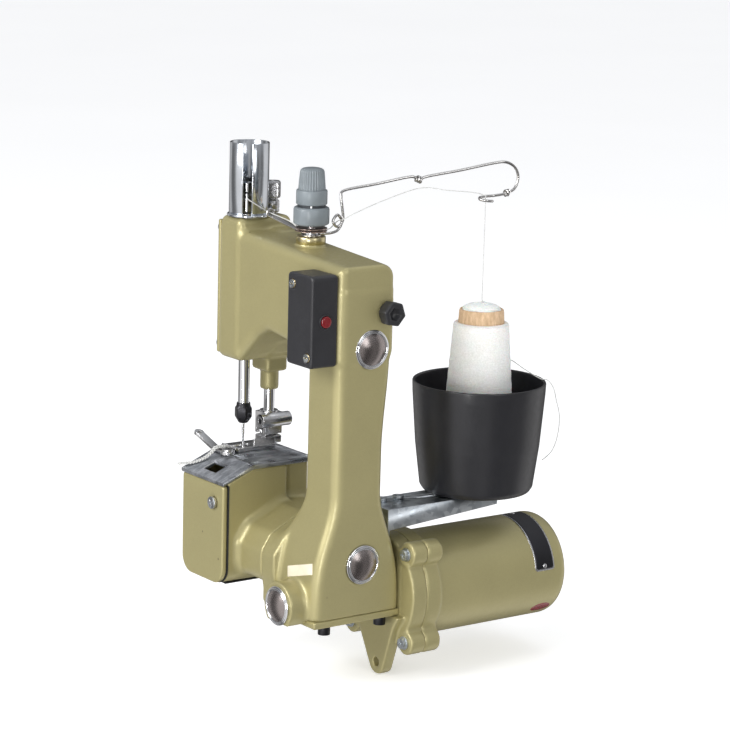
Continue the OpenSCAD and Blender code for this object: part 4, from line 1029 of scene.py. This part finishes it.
# Clamp nut of the needle: a black collar with two shoulders
prof = [(1.1, 108.9), (2.3, 108), (3.1, 108.1), (3.6, 108.7), (5.6, 111.6), (6.15, 112.6), (6.15, 118.4),
        (5.7, 119.4), (5.1, 120.0), (4.9, 120.6), (4.9, 121.9), (4.5, 122.5), (4.05, 122.45)]
V, F = lathe(prof, 96, (*NEEDLE, 0), wave=hexed(0.3, 0.9, range(4, 8)))
add("needle_clamp_visual", V, F, M_BLACK_STEEL, "needle_drive", ("needle_clamp",))

# Turned bright band of the tension boss
prof = [(9.9, 244.2), (10.12, 244.3), (10.12, 249.0), (9.7, 249.62), (5.5, 249.66), (5.4, 249.2)]
V, F = lathe(prof, 96, (*TENSION, 0))
add("tension_boss_band", V, F, M_TURNED, "root", slot="painted_casting")

# ---------------------------------------------------------------- bowl, cone and package
prof = soften([(0, 0), (32, 0), (37.5, 1.2), (39.6, 4.4), (43.4, 34), (46.2, 70), (46.5, 77.2), (46.2, 78.0),
               (45.1, 78.1), (44.5, 77.3), (44.3, 72), (37.6, 5), (36, 3), (0, 3)], 0.8, 3)
V, F = lathe(prof, 128, (*CONE, 68))
add("thread_bowl_visual", V, F, M_BOWL, "root", ("thread_bowl",))

# Shoe of the presser foot, under its holder
V, F = rbox((-139.4, 43.8, 91.7), (-126.6, 58.2, 97.1), 0.9)
add("foot_shoe", V, F, M_CAST_STEEL, "foot", slot="machined_steel")

prof = soften([(21.4, 74), (22.0, 74.4), (15.6, 194.6), (15.2, 196.2), (14.4, 196.6), (13.4, 195.6),
               (13.2, 190), (17.6, 110), (19.8, 75), (20.6, 74.1), (21.4, 74)], 0.3, 2)
V, F = lathe(prof, 96, (*CONE, 0))
add("cone_core_visual", V, F, M_PAPER, "root", ("cone_core",))

# Yarn: a cone of revolution whose skin carries the cross-wound turns
n, rows = 360, 420
zs = np.linspace(78.5, 186.5, rows)
rad = np.interp(zs, [78, 81, 185, 187], [25.5, 27, 19.4, 18.4])
a = np.arange(n) * 2 * math.pi / n
A, Z = np.meshgrid(a, zs)
PITCH = 17.0
skin = np.zeros_like(A)
for sign, phase in ((1, 0.0), (-1, 0.35)):
    band = 0.5 + 0.5 * np.cos((Z + sign * PITCH * A / (2 * math.pi) + phase) * (2 * math.pi * 15 / PITCH))
    lay = 0.5 + 0.5 * np.cos(Z * 2 * math.pi / PITCH * 2 + sign * 2 * A + phase * 7)
    skin = np.maximum(skin, band ** 0.8 * (0.45 + 0.55 * lay))
R = rad[:, None] + 0.42 * skin - 0.3
V = np.column_stack([(R * np.cos(A)).ravel(), (R * np.sin(A)).ravel(), Z.ravel()])
idx = np.arange(n * rows).reshape(rows, n)
beside = np.roll(idx, -1, 1)
F = np.stack([idx[:-1], beside[:-1], beside[1:], idx[1:]], -1).reshape(-1, 4).tolist()
top = lathe([(19.0, 186.4), (18.0, 187.1), (16.6, 187.3), (15.9, 186.9), (15.75, 186)], 120)
bot = lathe([(21.9, 78.4), (23, 78.0), (25.3, 78.2), (26.4, 78.7)], 120)
V, F, _ = join_parts([(V, F), top, bot])
add("thread_package_visual", V + (*CONE, 0), F, M_YARN, "root", ("thread_package",))

# A wad of loose turns tucked into the nose of the cone
turns = []
for k in range(900):
    q = k / 38 * 2 * math.pi + 0.25 * math.sin(k * 0.05)
    r = 4.2 + 7.6 * abs(math.sin(k / 900 * 2 * math.pi * 3.2 + 0.6)) + 0.5 * math.sin(k * 0.37)
    z = 200.9 - 0.035 * r * r + 0.5 * math.sin(3 * q + 1) + 0.25 * math.sin(k * 0.9)
    turns.append((CONE[0] + r * math.cos(q), CONE[1] + r * math.sin(q), z))
prof = soften([(13.2, 193), (13.6, 195.5), (13.0, 197.2), (11.6, 198.6), (9, 199.7), (5, 200.4), (0, 200.6)],
              0.6, 3)
wad = lathe(prof, 90, (*CONE, 0),
            wave=lambda i, a: 1 + 0.02 * np.sin(5 * a + i) + 0.015 * np.sin(11 * a + 2 * i))
V, F, _ = join_parts([tube(turns, 0.45, 6), wad])
add("nose_yarn", V, F, M_YARN, "root", slot="yarn")

# ---------------------------------------------------------------- needle guard
def ring_sector(r0, r1, a0, a1, z0, z1, n, edge=0.25):
    """A part ring with its long edges eased."""
    prof = [(r0, z0 + edge), (r0 + edge, z0), (r1 - edge, z0), (r1, z0 + edge), (r1, z1 - edge),
            (r1 - edge, z1), (r0 + edge, z1), (r0, z1 - edge)]
    V, F, m = [], [], len(prof)
    for q in np.linspace(a0, a1, n):
        V += [(r * math.cos(q), r * math.sin(q), z) for r, z in prof]
    for i in range(n - 1):
        for k in range(m):
            F.append([i * m + k, (i + 1) * m + k, (i + 1) * m + (k + 1) % m, i * m + (k + 1) % m])
    F.append(list(range(m)))
    F.append([n * m - 1 - k for k in range(m)])
    return np.array(V), F


half = math.asin(3 / 13.0)
mid_a = math.radians(-38)
g = [ring_sector(12.4, 13.75, mid_a + half, mid_a - half + 2 * math.pi, 256, 306, 140),
     ring_sector(12.4, 13.75, mid_a - half - 0.02, mid_a + half + 0.02, 255, 256.5, 12)]
base = lathe(soften([(12.45, 254.9), (15, 254.9), (15, 256.1), (14.5, 256.5), (13.7, 256.55)], 0.2, 2), 120)
V, F, _ = join_parts(g + [base])
add("needle_guard_visual", V + (-133, 31, 0), F, M_GUARD, "root", ("needle_guard",))

# ---------------------------------------------------------------- plates and stickers
def bent(y0, y1, a0, a1, r0, r1, corner, n=48, m=24):
    """A curved plate on the motor barrel with round corners."""
    V, F = [], []
    s = math.radians(a1 - a0) * r1
    rows = []
    for i in range(n + 1):
        t = i / n
        arc = t * s
        e = min(arc, s - arc)
        ins = corner - math.sqrt(max(corner ** 2 - max(corner - e, 0) ** 2, 0)) if e < corner else 0
        rows.append((math.radians(a0) + t * math.radians(a1 - a0), y0 + ins, y1 - ins))
    for r in (r0, r1):
        for q, ya, yb in rows:
            for k in range(m + 1):
                x, z = round_motor(r, q)
                V.append((x, ya + (yb - ya) * k / m, z))
    N1 = (n + 1) * (m + 1)
    for i in range(n):
        for k in range(m):
            p = i * (m + 1) + k
            F.append([N1 + p, N1 + p + 1, N1 + p + m + 2, N1 + p + m + 1])
            F.append([p, p + m + 1, p + m + 2, p + 1])
    rim = list(range(m + 1)) + [i * (m + 1) + m for i in range(1, n + 1)]
    rim += [n * (m + 1) + k for k in range(m - 1, -1, -1)] + [i * (m + 1) for i in range(n - 1, 0, -1)]
    for p, q in zip(rim, rim[1:] + rim[:1]):
        F.append([p, q, N1 + q, N1 + p])
    return V, F


parts = [(*bent(181, 198, 7, 98, 36.45, 36.95, 1.6), 0), (*bent(182.1, 196.9, 9, 96, 36.9, 37.12, 1.1), 1)]
for q in (math.radians(12), math.radians(93)):
    x, z = round_motor(36.9, q)
    out = (math.cos(q), 0, math.sin(q))
    V, F = lathe([(0, -0.3), (1.7, -0.3), (1.65, 0.3), (1.2, 0.65), (0.6, 0.8), (0, 0.84)], 24)
    parts.append((put(V, (x, 189.5, z), ((0, 1, 0), (-out[2], 0, out[0]), out)), F, 0))
V, F, M = join_parts(parts)
add("nameplate_visual", V, F, None, "root", ("nameplate",), mats=[M_STEEL, M_BLACK_STEEL], mat_of=M)

# Oval inspection spot on the barrel
q0 = math.radians(-44.4)
V, F = [], []
rings, seg = 8, 40
for i in range(rings + 1):
    for k in range(seg):
        t = 2 * math.pi * k / seg
        u, w = 8.2 * i / rings * math.cos(t), 5.0 * i / rings * math.sin(t)
        x, z = round_motor(36.5 + 0.28 * (1 - (i / rings) ** 6), q0 + w / 36.5)
        V.append((x, 194.8 + u, z))
for i in range(rings):
    for k in range(seg):
        a, b = i * seg + k, i * seg + (k + 1) % seg
        F.append([a, a + seg, b + seg, b])
add("barrel_spot", V, F, M_RED, "root")

# Blank cream badge on the foot of the column
t = math.radians(16)
e = ((math.cos(t), 0, math.sin(t)), (-math.sin(t), 0, math.cos(t)), (0, -1, 0))
V, F = rbox((-14, -3.75, -1.2), (14, 3.75, 0.45), 0.5, 3)
yb = float(col_front(np.array([31.0]))[0])
V = put(V, (-20.6, yb, 31.7), e)
slope = (col_front(np.array([36.0]))[0] - col_front(np.array([26.0]))[0]) / 10
V[:, 1] += (V[:, 2] - 31.7) * slope
add("badge", V, F, M_CREAM, "root")

# ---------------------------------------------------------------- floor, light and world
w = bpy.data.worlds.new("studio")
bpy.context.scene.world = w
w.use_nodes = True
sky = Nodes(w.node_tree)
way = sky.node("ShaderNodeSeparateXYZ", Vector=sky.node("ShaderNodeTexCoord").outputs["Generated"]).outputs

# Round the studio: panels and gaps, as shiny metal sees them; everything else sees an even white room
TURN = 2 * math.pi
angle = sky.math("ADD", sky.math("ARCTAN2", way[1], way[0]), 2 * TURN)
turn = sky.math("DIVIDE", sky.math("MODULO", angle, TURN), TURN)
ramp = sky.node("ShaderNodeValToRGB", Fac=turn)
stops = [(0, 0.10), (18, 0.13), (30, 0.34), (42, 0.16), (52, 0.22), (62, 0.85), (95, 0.8), (104, 0.3),
         (128, 0.08), (158, 0.06), (170, 0.5), (196, 0.62), (206, 0.2), (222, 0.16), (236, 0.28),
         (250, 0.9), (288, 1.0), (298, 0.4), (318, 0.22), (330, 0.6), (344, 0.5), (352, 0.1)]
el = ramp.color_ramp.elements
el.remove(el[1])
for k, (deg, v) in enumerate(stops):
    stop = el[0] if k == 0 else el.new(deg / 360)
    stop.position = deg / 360
    stop.color = (v, v * 0.985, v * 0.98, 1)
high = sky.span(way[2], 0.25, 0.75, 0, 1)
panels = sky.mixc(high, ramp.outputs[0], (0.5, 0.51, 0.53))
ray = sky.node("ShaderNodeLightPath").outputs
room = sky.mixc(ray["Is Glossy Ray"], (0.62, 0.63, 0.65), panels)
room = sky.mixc(ray["Is Camera Ray"], room, (1.0, 1.0, 1.0))
bg = sky.t.nodes["Background"].inputs
sky.feed(bg["Color"], room)
bg["Strength"].default_value = 1.0


def lamp(name, at, to, size, power):
    data = bpy.data.lights.new(name, "AREA")
    data.shape = "RECTANGLE"
    data.size, data.size_y = size
    data.energy = power
    o = bpy.data.objects.new(name, data)
    bpy.context.scene.collection.objects.link(o)
    o.location = at
    o.rotation_mode = "QUATERNION"
    o.rotation_quaternion = (Vector(to) - Vector(at)).to_track_quat("-Z", "Y")


lamp("key", (-0.1, -1.9, 1.25), (0, 0, 0.15), (1.0, 1.0), 31)
lamp("side", (1.9, -0.1, 0.9), (0, 0, 0.12), (0.6, 1.0), 6)
lamp("top", (-0.1, 0.5, 2.2), (0, 0, 0.1), (1.4, 1.4), 4)
lamp("edge", (1.14, -1.57, 0.16), (0, 0, 0.12), (0.22, 0.9), 14)
floor_z = float(CAD_BOX[0][2]) - 0.0005
me = bpy.data.meshes.new("floor")
me.from_pydata([(-6, -6, floor_z), (6, -6, floor_z), (6, 6, floor_z), (-6, 6, floor_z)], [], [(0, 1, 2, 3)])
floor = bpy.data.objects.new("floor", me)
bpy.context.scene.collection.objects.link(floor)
L = Look("floor", (0.86, 0.86, 0.86), 0.0, 0.6, Emission_Color=(1, 1, 1, 1), Emission_Strength=0.42)
L.color(L.mixc(L.span(L.noise(3, 2), 0.3, 0.7, 0, 1), (0.85, 0.85, 0.85), (0.87, 0.87, 0.87)))
me.materials.append(L.m)
floor.visible_glossy = False
bpy.context.scene.view_settings.view_transform = "Standard"
bpy.context.scene.view_settings.look = "None"
